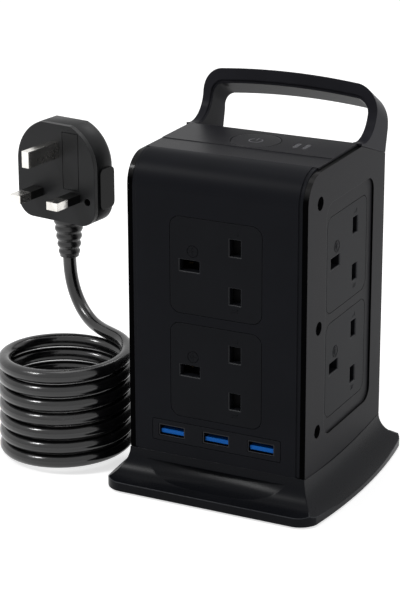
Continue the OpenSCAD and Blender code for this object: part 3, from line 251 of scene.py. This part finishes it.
# Moulded shells
# Front and rear covers, side panels, top plate, handle and base are injection moulded ABS,
# black to dark grey, with a fine spark-eroded texture and slightly rounded edges.
# Near black: the own colour of the screws and the plug's grips, and the painted shade on the side
# panels' edges.
black_and_edge_shade = (0.002, 0.002, 0.0022)
# Pale grey of the painted highlight on bent edges between given heights, and the height over which
# it fades in.
highlight_grey = (0.08, 0.084, 0.092)
highlight_fade = 0.0005
cloud_size = 0.03
edge_coat = 0.15
faces_sideways = (0.75, 0.95)
faces_upward = (0.2, 0.5)


def highlight_between(bent, low, high):
    """A painted highlight where the surface bends, between two heights of the piece."""
    place = bent.node("TexCoord", {}, {}, output="Object")
    height = bent.node("SeparateXYZ", {}, {"Vector": place}, output="Z")
    return (height.over(low, low + highlight_fade) * (1 - height.over(high - highlight_fade, high))
            * bent.over(0.005, 0.12))


def paint_edge_shade(shader, flat):
    """Paints the edges of a side plate black for the shade of the groove round it: glossy along
    the top and flat black down its front and rear. Returns a mask of them all."""
    sideways = flat.node("SeparateXYZ", {}, {"Vector": flat}, output="X")
    upward = flat.node("SeparateXYZ", {}, {"Vector": flat}, output="Z")
    shaded_edge_mask = 1 - flat.math("ABSOLUTE", sideways).over(*faces_sideways)
    dull = shaded_edge_mask * (1 - flat.math("ABSOLUTE", upward).over(*faces_upward))
    feed(shader, {"Coat Weight": edge_coat * shaded_edge_mask, "Coat Roughness": 0.15})
    painted_shade = flat.node("BsdfDiffuse", {}, {"Color": (*black_and_edge_shade, 1)})
    show(flat.node("MixShader", {}, {0: dull, 1: Value(flat.tree, shader.outputs[0]), 2: painted_shade}))
    return shaded_edge_mask


def moulded(name, colour, roughness, grain=0.0005, depth=0.00002, edge=0.0003, shine=0.05,
            shaded_edges=False, highlight_heights=None):
    """Textured plastic: fine grain, faint clouding, and a painted highlight that makes rounded
    edges a little brighter.

    As a side plate, its edges are painted black for the shade of the groove round it. Bent
    edges between two given heights get a much brighter painted highlight.
    """
    material, shader, start = new_material(name)
    rounded = start.node("Bevel", {"samples": 6}, {"Radius": edge})
    flat = start.node("NewGeometry", {}, {}, output="Normal")
    bent = 1 - start.node("VectorMath", {"operation": "DOT_PRODUCT"}, {0: rounded, 1: flat},
                          output="Value")
    # Painted highlight: rounded edges get a lighter base colour for light caught on them, and are
    # also made a little glossier.
    edge_highlight = bent.over(0.02, 0.4)
    cloud = noise(start, cloud_size, 2.0)
    fine = noise(start, grain, 2.0)
    light = [1.9 * c + 0.004 for c in colour]
    dark = [0.85 * c for c in colour]
    body = cloud.over(0.3, 0.7).blend((*dark, 1), (*colour, 1))
    base_colour = (0.6 * edge_highlight).blend(body, (*light, 1))
    # Painted highlight: bent edges between the given heights turn pale grey, for the bright line
    # of light along the top of the base's rim.
    if highlight_heights:
        base_colour = highlight_between(bent, *highlight_heights).blend(base_colour, (*highlight_grey, 1))
    # Painted shade: the side plate's edges are coloured black for the shade in the groove between
    # plate and cover.
    if shaded_edges:
        base_colour = paint_edge_shade(shader, flat).blend(base_colour, (*black_and_edge_shade, 1))
    feed(shader, {
        "Base Color": base_colour,
        "Roughness": roughness + 0.1 * (fine - 0.5) + 0.06 * (cloud - 0.5) - 0.08 * edge_highlight,
        "Specular IOR Level": shine,
        "Normal": start.node("Bump", {}, {"Strength": 0.35, "Distance": depth, "Height": fine,
                                          "Normal": rounded}),
    })
    return material


def finish(material, *nodes):
    """Gives CAD nodes a material in place of the plain one that they came with."""
    for name in nodes:
        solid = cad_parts[name]
        if not solid.data.materials:
            solid.data.materials.append(material)
        for place in solid.material_slots:
            place.material = material


finish(moulded("cover_plastic", (0.0075, 0.008, 0.0105), 0.42), "front_cover", "rear_cover")
# The side panels' edges carry the painted shade of the groove round them.
finish(moulded("panel_plastic", (0.014, 0.014, 0.016), 0.46, grain=0.0007, depth=0.00003,
               shaded_edges=True), "left_side_panel", "right_side_panel")
finish(moulded("top_plastic", (0.013, 0.013, 0.0155), 0.36, shine=0.07), "top_plate")
finish(moulded("handle_plastic", (0.024, 0.024, 0.029), 0.3, edge=0.0007, shine=0.02), "handle")
# The base's rim carries a painted highlight along its top edge.
finish(moulded("base_plastic", (0.0065, 0.007, 0.009), 0.28, edge=0.0007, shine=0.06,
               highlight_heights=(0.0035, 0.0068)),
       "base_skirt", "base_plate")


# Sockets
# Square inserts of matt fire-resistant plastic, pushed in from behind the walls. The bevel
# round each slot is painted as a paler ring, a painted highlight for light caught on it, and
# a sliding dark shutter behind each insert closes its live and neutral slots.
faces = ["front", "right", "rear", "left"]
rows = ["upper", "lower"]
insert_names = [f"socket_{face}_{row}" for face in faces for row in rows]
shutter_names = [f"shutter_{face}_{row}" for face in faces for row in rows]
insert_plastic = moulded("socket_plastic", (0.0085, 0.009, 0.011), 0.44, edge=0.00035)
finish(insert_plastic, *insert_names)
finish(moulded("shutter_plastic", (0.003, 0.003, 0.0035), 0.6), *shutter_names)
pin_pitch = 0.0222
slot_shift = 0.00175
slot_lip = 0.0005
slot_round = slot_lip / 2
slot_corner_steps = 4
line_slot = (0.0053, 0.0075)
earth_slot = (0.0096, 0.0050)
line_slot_x = pin_pitch / 2 - slot_shift
earth_slot_x = -pin_pitch / 2 - slot_shift
mark_width = 0.0004
mark_proud = 0.00012
mark_slope = 0.4
ring_radius = 0.0026
ring_place = (earth_slot_x + 0.0016, earth_slot[1] / 2 + 1.7 * ring_radius)
ring_steps = 24
earth_bars = (2.0, 1.3, 0.6)
earth_bar_pitch = 0.75
letter_size = 0.0026
letter_rise = pin_pitch / 2 + line_slot[1] / 2 + 1.1 * letter_size


def new_piece(name, mesh, material, body):
    """A finished bmesh becomes a piece on a body, with its material."""
    bmesh.ops.recalc_face_normals(mesh, faces=mesh.faces)
    data = bpy.data.meshes.new(name)
    mesh.to_mesh(data)
    mesh.free()
    data.materials.append(material)
    piece = bpy.data.objects.new(name, data)
    scene.collection.objects.link(piece)
    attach(piece, body)
    return piece


def insert_frame(name, turn):
    """From an insert's own plane, X right, Y into the tower and Z up, to the model."""
    low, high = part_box(name)
    turned = Matrix.Rotation(math.radians(turn), 4, "Z")
    outward = turned @ Vector((0, -1, 0))
    reach = abs((high - low).dot(outward)) / 2
    return Matrix.Translation((low + high) / 2 + reach * outward) @ turned


def slot_edge(x, z, size, gap, depth):
    """Points round a slot that is widened by a gap, with small rounded corners."""
    points = []
    for k, (sx, sz) in enumerate(((1, 1), (-1, 1), (-1, -1), (1, -1))):
        middle = (x + sx * (size[0] / 2 + gap - slot_round),
                  z + sz * (size[1] / 2 + gap - slot_round))
        for i in range(slot_corner_steps + 1):
            angle = math.pi / 2 * (k + i / slot_corner_steps)
            points.append(Vector((middle[0] + slot_round * math.cos(angle), depth,
                                  middle[1] + slot_round * math.sin(angle))))
    return points


def add_lip(mesh, place, x, z, size):
    """The bevel round a slot: a closed ring that fills the step in the insert."""
    outline = [slot_edge(x, z, size, slot_lip, 0), slot_edge(x, z, size, 0, slot_lip),
               slot_edge(x, z, size, slot_lip, slot_lip)]
    rings = [[mesh.verts.new(place @ point) for point in ring] for ring in outline]
    count = len(rings[0])
    for first_ring, second_ring in ((0, 1), (1, 2), (2, 0)):
        for i in range(count):
            k = (i + 1) % count
            mesh.faces.new((rings[first_ring][i], rings[first_ring][k],
                            rings[second_ring][k], rings[second_ring][i]))


def add_ridge(mesh, place, start_point, end_point):
    """A straight raised line with sloping sides between two points of an insert's face."""
    start_point, end_point = Vector(start_point), Vector(end_point)
    along = (end_point - start_point).normalized() * mark_width / 2
    across = Vector((-along.y, along.x))
    corners = [start_point - along - across, start_point - along + across,
               end_point + along + across, end_point + along - across]
    low = [mesh.verts.new(place @ Vector((c.x, mark_proud, c.y))) for c in corners]
    high = [mesh.verts.new(place @ Vector((c.x, -mark_proud, c.y)))
            for c in (corner - mark_slope * (across if i in (1, 2) else -across)
                      for i, corner in enumerate(corners))]
    mesh.faces.new(low)
    mesh.faces.new(high)
    for i in range(4):
        k = (i + 1) % 4
        mesh.faces.new((low[i], low[k], high[k], high[i]))


def arc(centre, radius, start, end, steps):
    """Points along an arc of a plane, from one angle to another."""
    return [(centre[0] + radius * math.cos(start + (end - start) * i / steps),
             centre[1] + radius * math.sin(start + (end - start) * i / steps))
            for i in range(steps + 1)]


def add_marks(mesh, place):
    """The usual moulded marks: earth in a ring, and the letters of live and neutral."""
    ring = arc(ring_place, ring_radius, 0, math.tau, ring_steps)
    third = ring_radius / 3
    strokes = list(zip(ring, ring[1:]))
    strokes.append(((ring_place[0] + 2 * third, ring_place[1]), ring_place))
    for k, half in enumerate(earth_bars):
        x = ring_place[0] - earth_bar_pitch * k * third
        strokes.append(((x, ring_place[1] - half * third), (x, ring_place[1] + half * third)))
    left, right = line_slot_x - letter_size / 2, line_slot_x + letter_size / 2
    low, high = letter_rise - letter_size / 4, letter_rise + letter_size / 4
    strokes += [((left, low), (right, low)), ((right, low), (right, high)),
                ((left, -high), (right, -high)), ((left, -low), (right, -low)),
                ((left, -high), (right, -low))]
    for start_point, end_point in strokes:
        add_ridge(mesh, place, start_point, end_point)


lips = bmesh.new()
marks = bmesh.new()
for k, face in enumerate(faces):
    for row in rows:
        insert_place = insert_frame(f"socket_{face}_{row}", 90 * k)
        add_lip(lips, insert_place, earth_slot_x, 0, earth_slot)
        for side in (-1, 1):
            add_lip(lips, insert_place, line_slot_x, side * pin_pitch / 2, line_slot)
        add_marks(marks, insert_place)
# Painted highlight: the slot lips are a paler plastic than the insert, for light caught on their
# bevels.
new_piece("slot_lips", lips, moulded("slot_lip_highlight", (0.018, 0.019, 0.022), 0.35, shine=0.15),
          "tower")
new_piece("insert_marks", marks, insert_plastic, "tower")


# Contacts inside
# Stamped brass strips with a pair of leaves for each pin, painted very dark for the shade deep
# inside the slots. Black moulded carriers hold them behind the inserts.
rolling_marks = 0.0002


def metal(name, colour, roughness):
    """Bare metal: fine marks from the rolls, and duller patches."""
    material, shader, start = new_material(name)
    patch = noise(start, 0.006).over(0.4, 0.7)
    fine = noise(start, rolling_marks, 2.0)
    feed(shader, {
        "Base Color": patch.blend((*colour, 1), (*[0.85 * c for c in colour], 1)),
        "Metallic": 1.0,
        "Roughness": roughness + 0.12 * patch + 0.08 * (fine - 0.5),
        "Normal": start.node("Bump", {}, {
            "Strength": 0.2, "Distance": 0.00001, "Height": fine,
            "Normal": start.node("Bevel", {"samples": 4}, {"Radius": 0.00015})}),
    })
    return material


# Painted shade: the brass is given a very dark colour for the shade deep inside the slots.
finish(metal("contact_brass", (0.12, 0.085, 0.04), 0.5),
       "live_contacts", "neutral_contacts", "earth_contacts")
finish(moulded("carrier_plastic", (0.006, 0.006, 0.006), 0.6), "contact_carriers")


# Charging ports
# Three steel shells, painted almost black for the shade where they sit back in the plate, stand
# on the supply board and look out through the plate under the sockets. Each holds a blue
# plastic tongue with four gold contacts on its underside.
# Painted shade: the steel is coloured almost black for the shade of the openings that the shells
# sit in.
port_steel = metal("port_steel", (0.025, 0.025, 0.027), 0.35)
contact_gold = metal("contact_gold", (0.85, 0.62, 0.25), 0.2)
port_blue = moulded("port_blue", (0.006, 0.13, 0.52), 0.35, edge=0.00015, shine=0.1)
finish(moulded("port_plate", (0.0075, 0.008, 0.0105), 0.4, shine=0.06), "usb_plate")
finish(port_steel, "usb_shells")
finish(port_blue, "usb_tongues")


def add_loft(mesh, rings):
    """Joins equal rings of points into a closed skin with a cap at each end."""
    rows_made = [[mesh.verts.new(p) for p in ring] for ring in rings]
    count = len(rings[0])
    for low, high in zip(rows_made, rows_made[1:]):
        for i in range(count):
            k = (i + 1) % count
            mesh.faces.new((low[i], low[k], high[k], high[i])).smooth = True
    mesh.faces.new(rows_made[0])
    mesh.faces.new(rows_made[-1])


def add_pad(mesh, low, high, chamfer):
    """A small block with its top and bottom edges taken off, between two corners."""
    def ring(z, inset):
        return [Vector((x, y, z)) for x, y in (
            (low.x + inset, low.y + inset), (high.x - inset, low.y + inset),
            (high.x - inset, high.y - inset), (low.x + inset, high.y - inset))]

    before = len(mesh.faces)
    add_loft(mesh, [ring(low.z, chamfer), ring(low.z + chamfer, 0), ring(high.z - chamfer, 0),
                    ring(high.z, chamfer)])
    mesh.faces.ensure_lookup_table()
    for face in mesh.faces[before:]:
        face.smooth = False


tongue_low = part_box("usb_tongues")[0]
port_pitch = 0.0222
finger_pitch = 0.0025
finger_width = 0.0012
finger_length = 0.008
finger_proud = 0.00006
fingers = bmesh.new()
for port in (-1, 0, 1):
    for finger in (-1.5, -0.5, 0.5, 1.5):
        x = port * port_pitch + finger * finger_pitch
        front = tongue_low.y + 2 * finger_width / 3
        add_pad(fingers, Vector((x - finger_width / 2, front, tongue_low.z - finger_proud)),
                Vector((x + finger_width / 2, front + finger_length, tongue_low.z + finger_proud)),
                finger_proud / 2)
new_piece("usb_contacts", fingers, contact_gold, "tower")


# Power button and indicators
# The round moulded button sits in a thin ring-shaped gap, with a printed power symbol. Two
# small smoky windows beside it show that the sockets and the ports are live.
finish(moulded("button_plastic", (0.013, 0.013, 0.0155), 0.34, edge=0.0004, shine=0.12),
       "power_button")
finish(moulded("lens_clear", (0.09, 0.09, 0.10), 0.25, edge=0.0002, shine=0.5),
       "indicator_lenses")
symbol_radius = 0.0030
symbol_stroke = 0.0006
symbol_proud = 0.00005
symbol_gap = math.radians(34)
symbol_steps = 40
button_low, button_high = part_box("power_button")
symbol_middle = ((button_low + button_high) / 2).xy
bar_half = symbol_stroke / 2
bar_low = symbol_middle.y + symbol_radius / 6
bar_top = symbol_middle.y + 1.25 * symbol_radius


def add_stroke(mesh, outline, z, height):
    """A flat printed shape that stands slightly proud of the surface under it."""
    low = [mesh.verts.new((x, y, z - height)) for x, y in outline]
    high = [mesh.verts.new((x, y, z + height)) for x, y in outline]
    mesh.faces.new(high)
    mesh.faces.new(list(reversed(low)))
    for i in range(len(outline)):
        k = (i + 1) % len(outline)
        mesh.faces.new((low[i], low[k], high[k], high[i]))


symbol = bmesh.new()
symbol_start = math.pi / 2 + symbol_gap
symbol_end = math.pi / 2 + math.tau - symbol_gap
for i in range(symbol_steps):
    a = symbol_start + (symbol_end - symbol_start) * i / symbol_steps
    b = symbol_start + (symbol_end - symbol_start) * (i + 1) / symbol_steps
    outer = arc(symbol_middle, symbol_radius + symbol_stroke / 2, a, b, 1)
    inner = arc(symbol_middle, symbol_radius - symbol_stroke / 2, b, a, 1)
    add_stroke(symbol, outer + inner, button_high.z, symbol_proud)
add_stroke(symbol, [(symbol_middle.x - bar_half, bar_low), (symbol_middle.x + bar_half, bar_low),
                    (symbol_middle.x + bar_half, bar_top), (symbol_middle.x - bar_half, bar_top)],
           button_high.z, symbol_proud)
bmesh.ops.remove_doubles(symbol, verts=symbol.verts, dist=1e-7)
new_piece("power_symbol", symbol, moulded("print_grey", (0.16, 0.16, 0.17), 0.5), "button")


# Screws and feet
# Blackened cross-head screws hold the side panels and close the plug, zinc-plated ones hold
# the base plate, and four rubber discs are glued under it.
finish(moulded("black_screw", black_and_edge_shade, 0.4, edge=0.0002, shine=0),
       "side_screws", "plug_screw")
screw_steel = metal("screw_steel", (0.62, 0.63, 0.65), 0.3)
finish(screw_steel, "base_screws")
finish(moulded("foot_rubber", (0.012, 0.012, 0.012), 0.7, grain=0.0009, depth=0.00005),
       "rubber_feet")


# Return spring
# A coil of spring-steel wire stands on the switch and lifts the button. Its turns close by
# the button's travel when the button goes down.
spring_mesh = bmesh.new()
spring_mesh.from_mesh(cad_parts["button_spring"].data)
spring = new_piece("return_spring", spring_mesh, screw_steel, "tower")
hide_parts("button_spring")
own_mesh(spring)


# Boards and wires inside
# Green lacquered boards with a taped transformer, two capacitors and blue varistors, and
# the three cores of the lead in brown, blue and green with a yellow stripe.
board_cells = 260


def board(name):
    """Lacquered laminate with copper tracks that show through as paler lines."""
    material, shader, start = new_material(name)
    place = start.node("TexCoord", {}, {}, output="Object")
    cells = start.node("TexVoronoi", {"feature": "DISTANCE_TO_EDGE"},
                       {"Vector": place, "Scale": board_cells}, output="Distance")
    track = 1 - cells.over(0.05, 0.09)
    feed(shader, {
        "Base Color": track.blend((0.012, 0.09, 0.03, 1), (0.05, 0.2, 0.07, 1)),
        "Roughness": 0.3 - 0.08 * track,
        "Normal": start.node("Bump", {}, {"Strength": 0.4, "Distance": 0.00004, "Height": track}),
    })
    return material


def striped(name, colour, stripe, size):
    """Coloured insulation with a second colour in bands along its height."""
    material, shader, start = new_material(name)
    place = start.node("TexCoord", {}, {}, output="Object")
    height = start.node("SeparateXYZ", {}, {"Vector": place}, output="Z")
    band = start.math("SINE", height * (math.tau / size))
    feed(shader, {
        "Base Color": band.over(0.1, 0.3).blend((*colour, 1), (*stripe, 1)),
        "Roughness": 0.4 + 0.1 * noise(start, 0.002),
    })
    return material


finish(board("board_green"), "usb_board", "indicator_board", "surge_board")
finish(striped("transformer_yellow", (0.65, 0.47, 0.06), (0.5, 0.36, 0.05), 0.004),
       "usb_transformer")
finish(moulded("component_dark", (0.02, 0.02, 0.05), 0.3), "usb_capacitors")
finish(moulded("component_blue", (0.02, 0.09, 0.35), 0.35), "varistors")
finish(moulded("switch_plastic", (0.03, 0.03, 0.03), 0.45), "power_switch")
finish(vinyl("wire_brown", (0.16, 0.055, 0.02), 0.35), "live_wire")
finish(vinyl("wire_blue", (0.02, 0.07, 0.4), 0.35), "neutral_wire")
finish(striped("wire_green", (0.04, 0.28, 0.04), (0.6, 0.5, 0.03), 0.003), "earth_wire")


# Strain reliefs
# Soft black vinyl boots moulded onto the lead, one held by its flange behind the rear wall
# and one under the plug. Rounded rings let them bend evenly.
boot_sides = 48
steps_a_rib = 10
rib_swell = cord_thickness / 16
rib_roundness = 0.6
run_out = 8
gland_ribs = 5
gland_radii = (0.0056, 0.0044)
gland_neck_radius = 0.0062
flange_edge = 0.0004
plug_boot_ribs = 4
plug_boot_radii = (0.0072, 0.0046)


def ribbed_profile(length, wide, narrow, ribs):
    """Distance along the boot and radius there, with one rounded ring for each rib."""
    steps = steps_a_rib * (ribs + 1)
    profile = []
    for i in range(steps + 1):
        share = i / steps
        wave = (1 - math.cos(math.tau * share * (ribs + 1))) / 2
        ring = rib_swell * (2 * wave ** rib_roundness - 1)
        ease = min(1, run_out * share, run_out * (1 - share))
        profile.append((length * share, wide + (narrow - wide) * share + ring * ease))
    return profile


def lathe(origin, along, profile):
    """Rings of points round an axis, one for each distance and radius."""
    side = along.orthogonal().normalized()
    other = along.cross(side)
    return [[origin + along * distance
             + radius * (math.cos(math.tau * i / boot_sides) * side
                         + math.sin(math.tau * i / boot_sides) * other)
             for i in range(boot_sides)] for distance, radius in profile]


boot_vinyl = vinyl("boot_vinyl", (0.008, 0.008, 0.009), 0.32)
gland_low, gland_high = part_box("cord_gland")
wall_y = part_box("rear_cover")[1].y
inner_y = gland_low.y - wall_y
flange_radius = (gland_high.x - gland_low.x) / 2
# Distance from the wall's outer face and radius there, from inside the tower outwards.
flange_profile = [(inner_y, gland_neck_radius - flange_edge),
                  (inner_y + flange_edge, gland_neck_radius), (-0.0050, gland_neck_radius),
                  (-0.0049, flange_radius - flange_edge), (-0.0045, flange_radius),
                  (-0.0029, flange_radius), (-0.0025, flange_radius - flange_edge),
                  (-0.0025, gland_neck_radius), (0.0, gland_neck_radius)]
gland_mesh = bmesh.new()
gland_start = Vector((0, wall_y, gland_end.z))
boot_shape = ribbed_profile(gland_high.y - wall_y, *gland_radii, gland_ribs)
add_loft(gland_mesh, lathe(gland_start, Vector((0, 1, 0)), flange_profile + boot_shape[1:]))
gland_boot = new_piece("gland_boot", gland_mesh, boot_vinyl, "tower")
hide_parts("cord_gland")

neck_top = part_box("plug_strain_relief")[1].z
neck_mesh = bmesh.new()
neck_start = Vector((cord_points[-1].x, cord_points[-1].y, neck_top))
neck_shape = ribbed_profile(neck_top - cord_points[-1].z, *plug_boot_radii, plug_boot_ribs)
add_loft(neck_mesh, lathe(neck_start, Vector((0, 0, -1)), neck_shape))
plug_boot = new_piece("plug_boot", neck_mesh, boot_vinyl, "tower")
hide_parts("plug_strain_relief")


# Plug
# Fused three-pin plug of matt black plastic with a rounded back. The live and neutral pins
# have black sleeves near the face, and the fuse sits behind a cover between the pins.
plug_width = 0.046
plug_height = 0.048
plug_depth = 0.019
plug_face_depth = 0.0025
plug_rear_depth = 0.006
plug_low_radius = 0.0085
shoulder_radius = 0.022
shoulder_in = 0.014
plug_taper = 0.82
dome_bend = 0.9
dome_reach = 0.7
dome_steps = 10
plug_edge = 0.0012
edge_steps = 4
seam = 0.0002
plug_turn = math.radians(-8)
corner_steps = 14
plug_place = Matrix.Translation(neck_start) @ Matrix.Rotation(plug_turn, 4, "Z")


def plug_outline(inset):
    """Points round the plug's face: tight corners below, wide shoulders up to a flat top."""
    half = plug_width / 2
    rise = math.sqrt(shoulder_in * (2 * shoulder_radius - shoulder_in))
    reach = math.asin((rise - inset) / (shoulder_radius - inset))
    points = []
    for x, z, radius, start, turn in (
            (half - plug_low_radius, plug_low_radius, plug_low_radius, -math.pi / 2, math.pi / 2),
            (half - shoulder_radius, plug_height - rise, shoulder_radius, 0, reach),
            (shoulder_radius - half, plug_height - rise, shoulder_radius, math.pi - reach, reach),
            (plug_low_radius - half, plug_low_radius, plug_low_radius, math.pi, math.pi / 2)):
        points += arc((x, z), radius - inset, start, start + turn, corner_steps)
    return points


def plug_ring(depth, inset, scale=1.0):
    """The plug's outline at a depth from its face, drawn in by an inset or by a scale."""
    middle_z = plug_height / 2
    return [plug_place @ Vector((scale * x, depth - plug_depth / 2,
                                 middle_z + scale * (z - middle_z)))
            for x, z in plug_outline(inset)]


shell_mesh = bmesh.new()
dome_start = plug_depth - plug_rear_depth
dome_end = plug_depth - plug_edge
shell_rings = [plug_ring(plug_face_depth, seam), plug_ring(plug_face_depth + seam, 0),
               plug_ring(dome_start, 0)]
for i in range(1, dome_steps + 1):
    share = i / dome_steps
    drop = 1 - math.sqrt(1 - dome_bend * share * share)
    rear_scale = 1 - (1 - plug_taper) * drop / dome_reach
    shell_rings.append(plug_ring(dome_start + (dome_end - dome_start) * share, 0, rear_scale))
for i in range(1, edge_steps + 1):
    turn = math.pi / 2 * i / edge_steps
    shell_rings.append(plug_ring(dome_end + plug_edge * math.sin(turn),
                                 plug_edge * (1 - math.cos(turn)), rear_scale))
add_loft(shell_mesh, shell_rings)
plug_plastic = moulded("plug_plastic", (0.014, 0.0145, 0.0155), 0.42, grain=0.0008,
                       depth=0.00004, shine=0.2)
plug_shell = new_piece("plug_shell", shell_mesh, plug_plastic, "tower")
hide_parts("plug_body")
finish(plug_plastic, "plug_face")
finish(moulded("fuse_cover", (0.011, 0.0115, 0.0125), 0.38, shine=0.2), "fuse_carrier")
finish(moulded("grip_gloss", black_and_edge_shade, 0.15, edge=0.0004, shine=0.1), "plug_grips")
finish(metal("pin_nickel", (0.78, 0.76, 0.72), 0.18), "plug_pins")
finish(moulded("sleeve_black", (0.010, 0.010, 0.010), 0.35, shine=0.3), "pin_sleeves")
finish(moulded("fuse_ceramic", (0.6, 0.57, 0.5), 0.3), "fuse")


# Floor and light
# A pale floor just under the feet, soft lamps above, on the left, on the right and behind,
# and a plain white surround.
white = (1, 1, 1, 1)
floor_half = 3.0
floor_drop = 0.0001
floor_glow = 0.64
surround_level = 0.3
middle_of_part = (0, 0, 0.09)


def shown_white(start):
    """1 where the camera looks, straight or in a mirror or glass, and 0 for all other light."""
    rays = [start.node("LightPath", {}, {}, output=f"Is {kind} Ray")
            for kind in ("Camera", "Glossy", "Transmission")]
    return start.math("MINIMUM", rays[0] + rays[1] + rays[2], 1.0)


def pale_floor():
    """White where the camera looks, and still darkened by the shadow of the part."""
    material, shader, start = new_material("floor_white")
    feed(shader, {"Base Color": (0.86, 0.86, 0.86, 1), "Roughness": 0.9,
                  "Specular IOR Level": 0.0})
    plain = Value(start.tree, shader.outputs[0])
    glow = start.node("Emission", {}, {"Color": white, "Strength": floor_glow})
    glowing = start.node("AddShader", {}, {0: plain, 1: glow})
    show(start.node("MixShader", {}, {0: shown_white(start), 1: plain, 2: glowing}))
    return material


floor_mesh = bmesh.new()
bmesh.ops.create_grid(floor_mesh, x_segments=2, y_segments=2, size=floor_half)
floor_data = bpy.data.meshes.new("floor")
floor_mesh.to_mesh(floor_data)
floor_mesh.free()
floor_data.materials.append(pale_floor())
floor = bpy.data.objects.new("floor", floor_data)
floor.location.z = -floor_drop
scene.collection.objects.link(floor)


def soft_lamp(name, place, target, width, height, power):
    """A rectangular soft box that looks at a point of the part."""
    data = bpy.data.lights.new(name, "AREA")
    data.shape = "RECTANGLE"
    data.size, data.size_y = width, height
    data.energy = power
    lamp = bpy.data.objects.new(name, data)
    lamp.location = place
    lamp.rotation_euler = (Vector(target) - Vector(place)).to_track_quat("-Z", "Y").to_euler()
    scene.collection.objects.link(lamp)


soft_lamp("top_lamp", (-0.2, 0.1, 1.3), middle_of_part, 0.6, 0.6, 2)
soft_lamp("left_lamp", (-0.75, -0.72, 1.1), middle_of_part, 0.25, 0.25, 7.5)
soft_lamp("right_lamp", (1.2, 0.1, 0.32), middle_of_part, 0.3, 0.4, 4)
soft_lamp("rear_lamp", (0.2, 0.8, 1.2), middle_of_part, 0.4, 0.4, 3)

surround = bpy.data.worlds.new("surround")
scene.world = surround
surround.use_nodes = True
backdrop = surround.node_tree.nodes["Background"]
seen_white = shown_white(Value(surround.node_tree))
feed(backdrop, {"Color": white,
                "Strength": surround_level + (1 - surround_level) * seen_white})
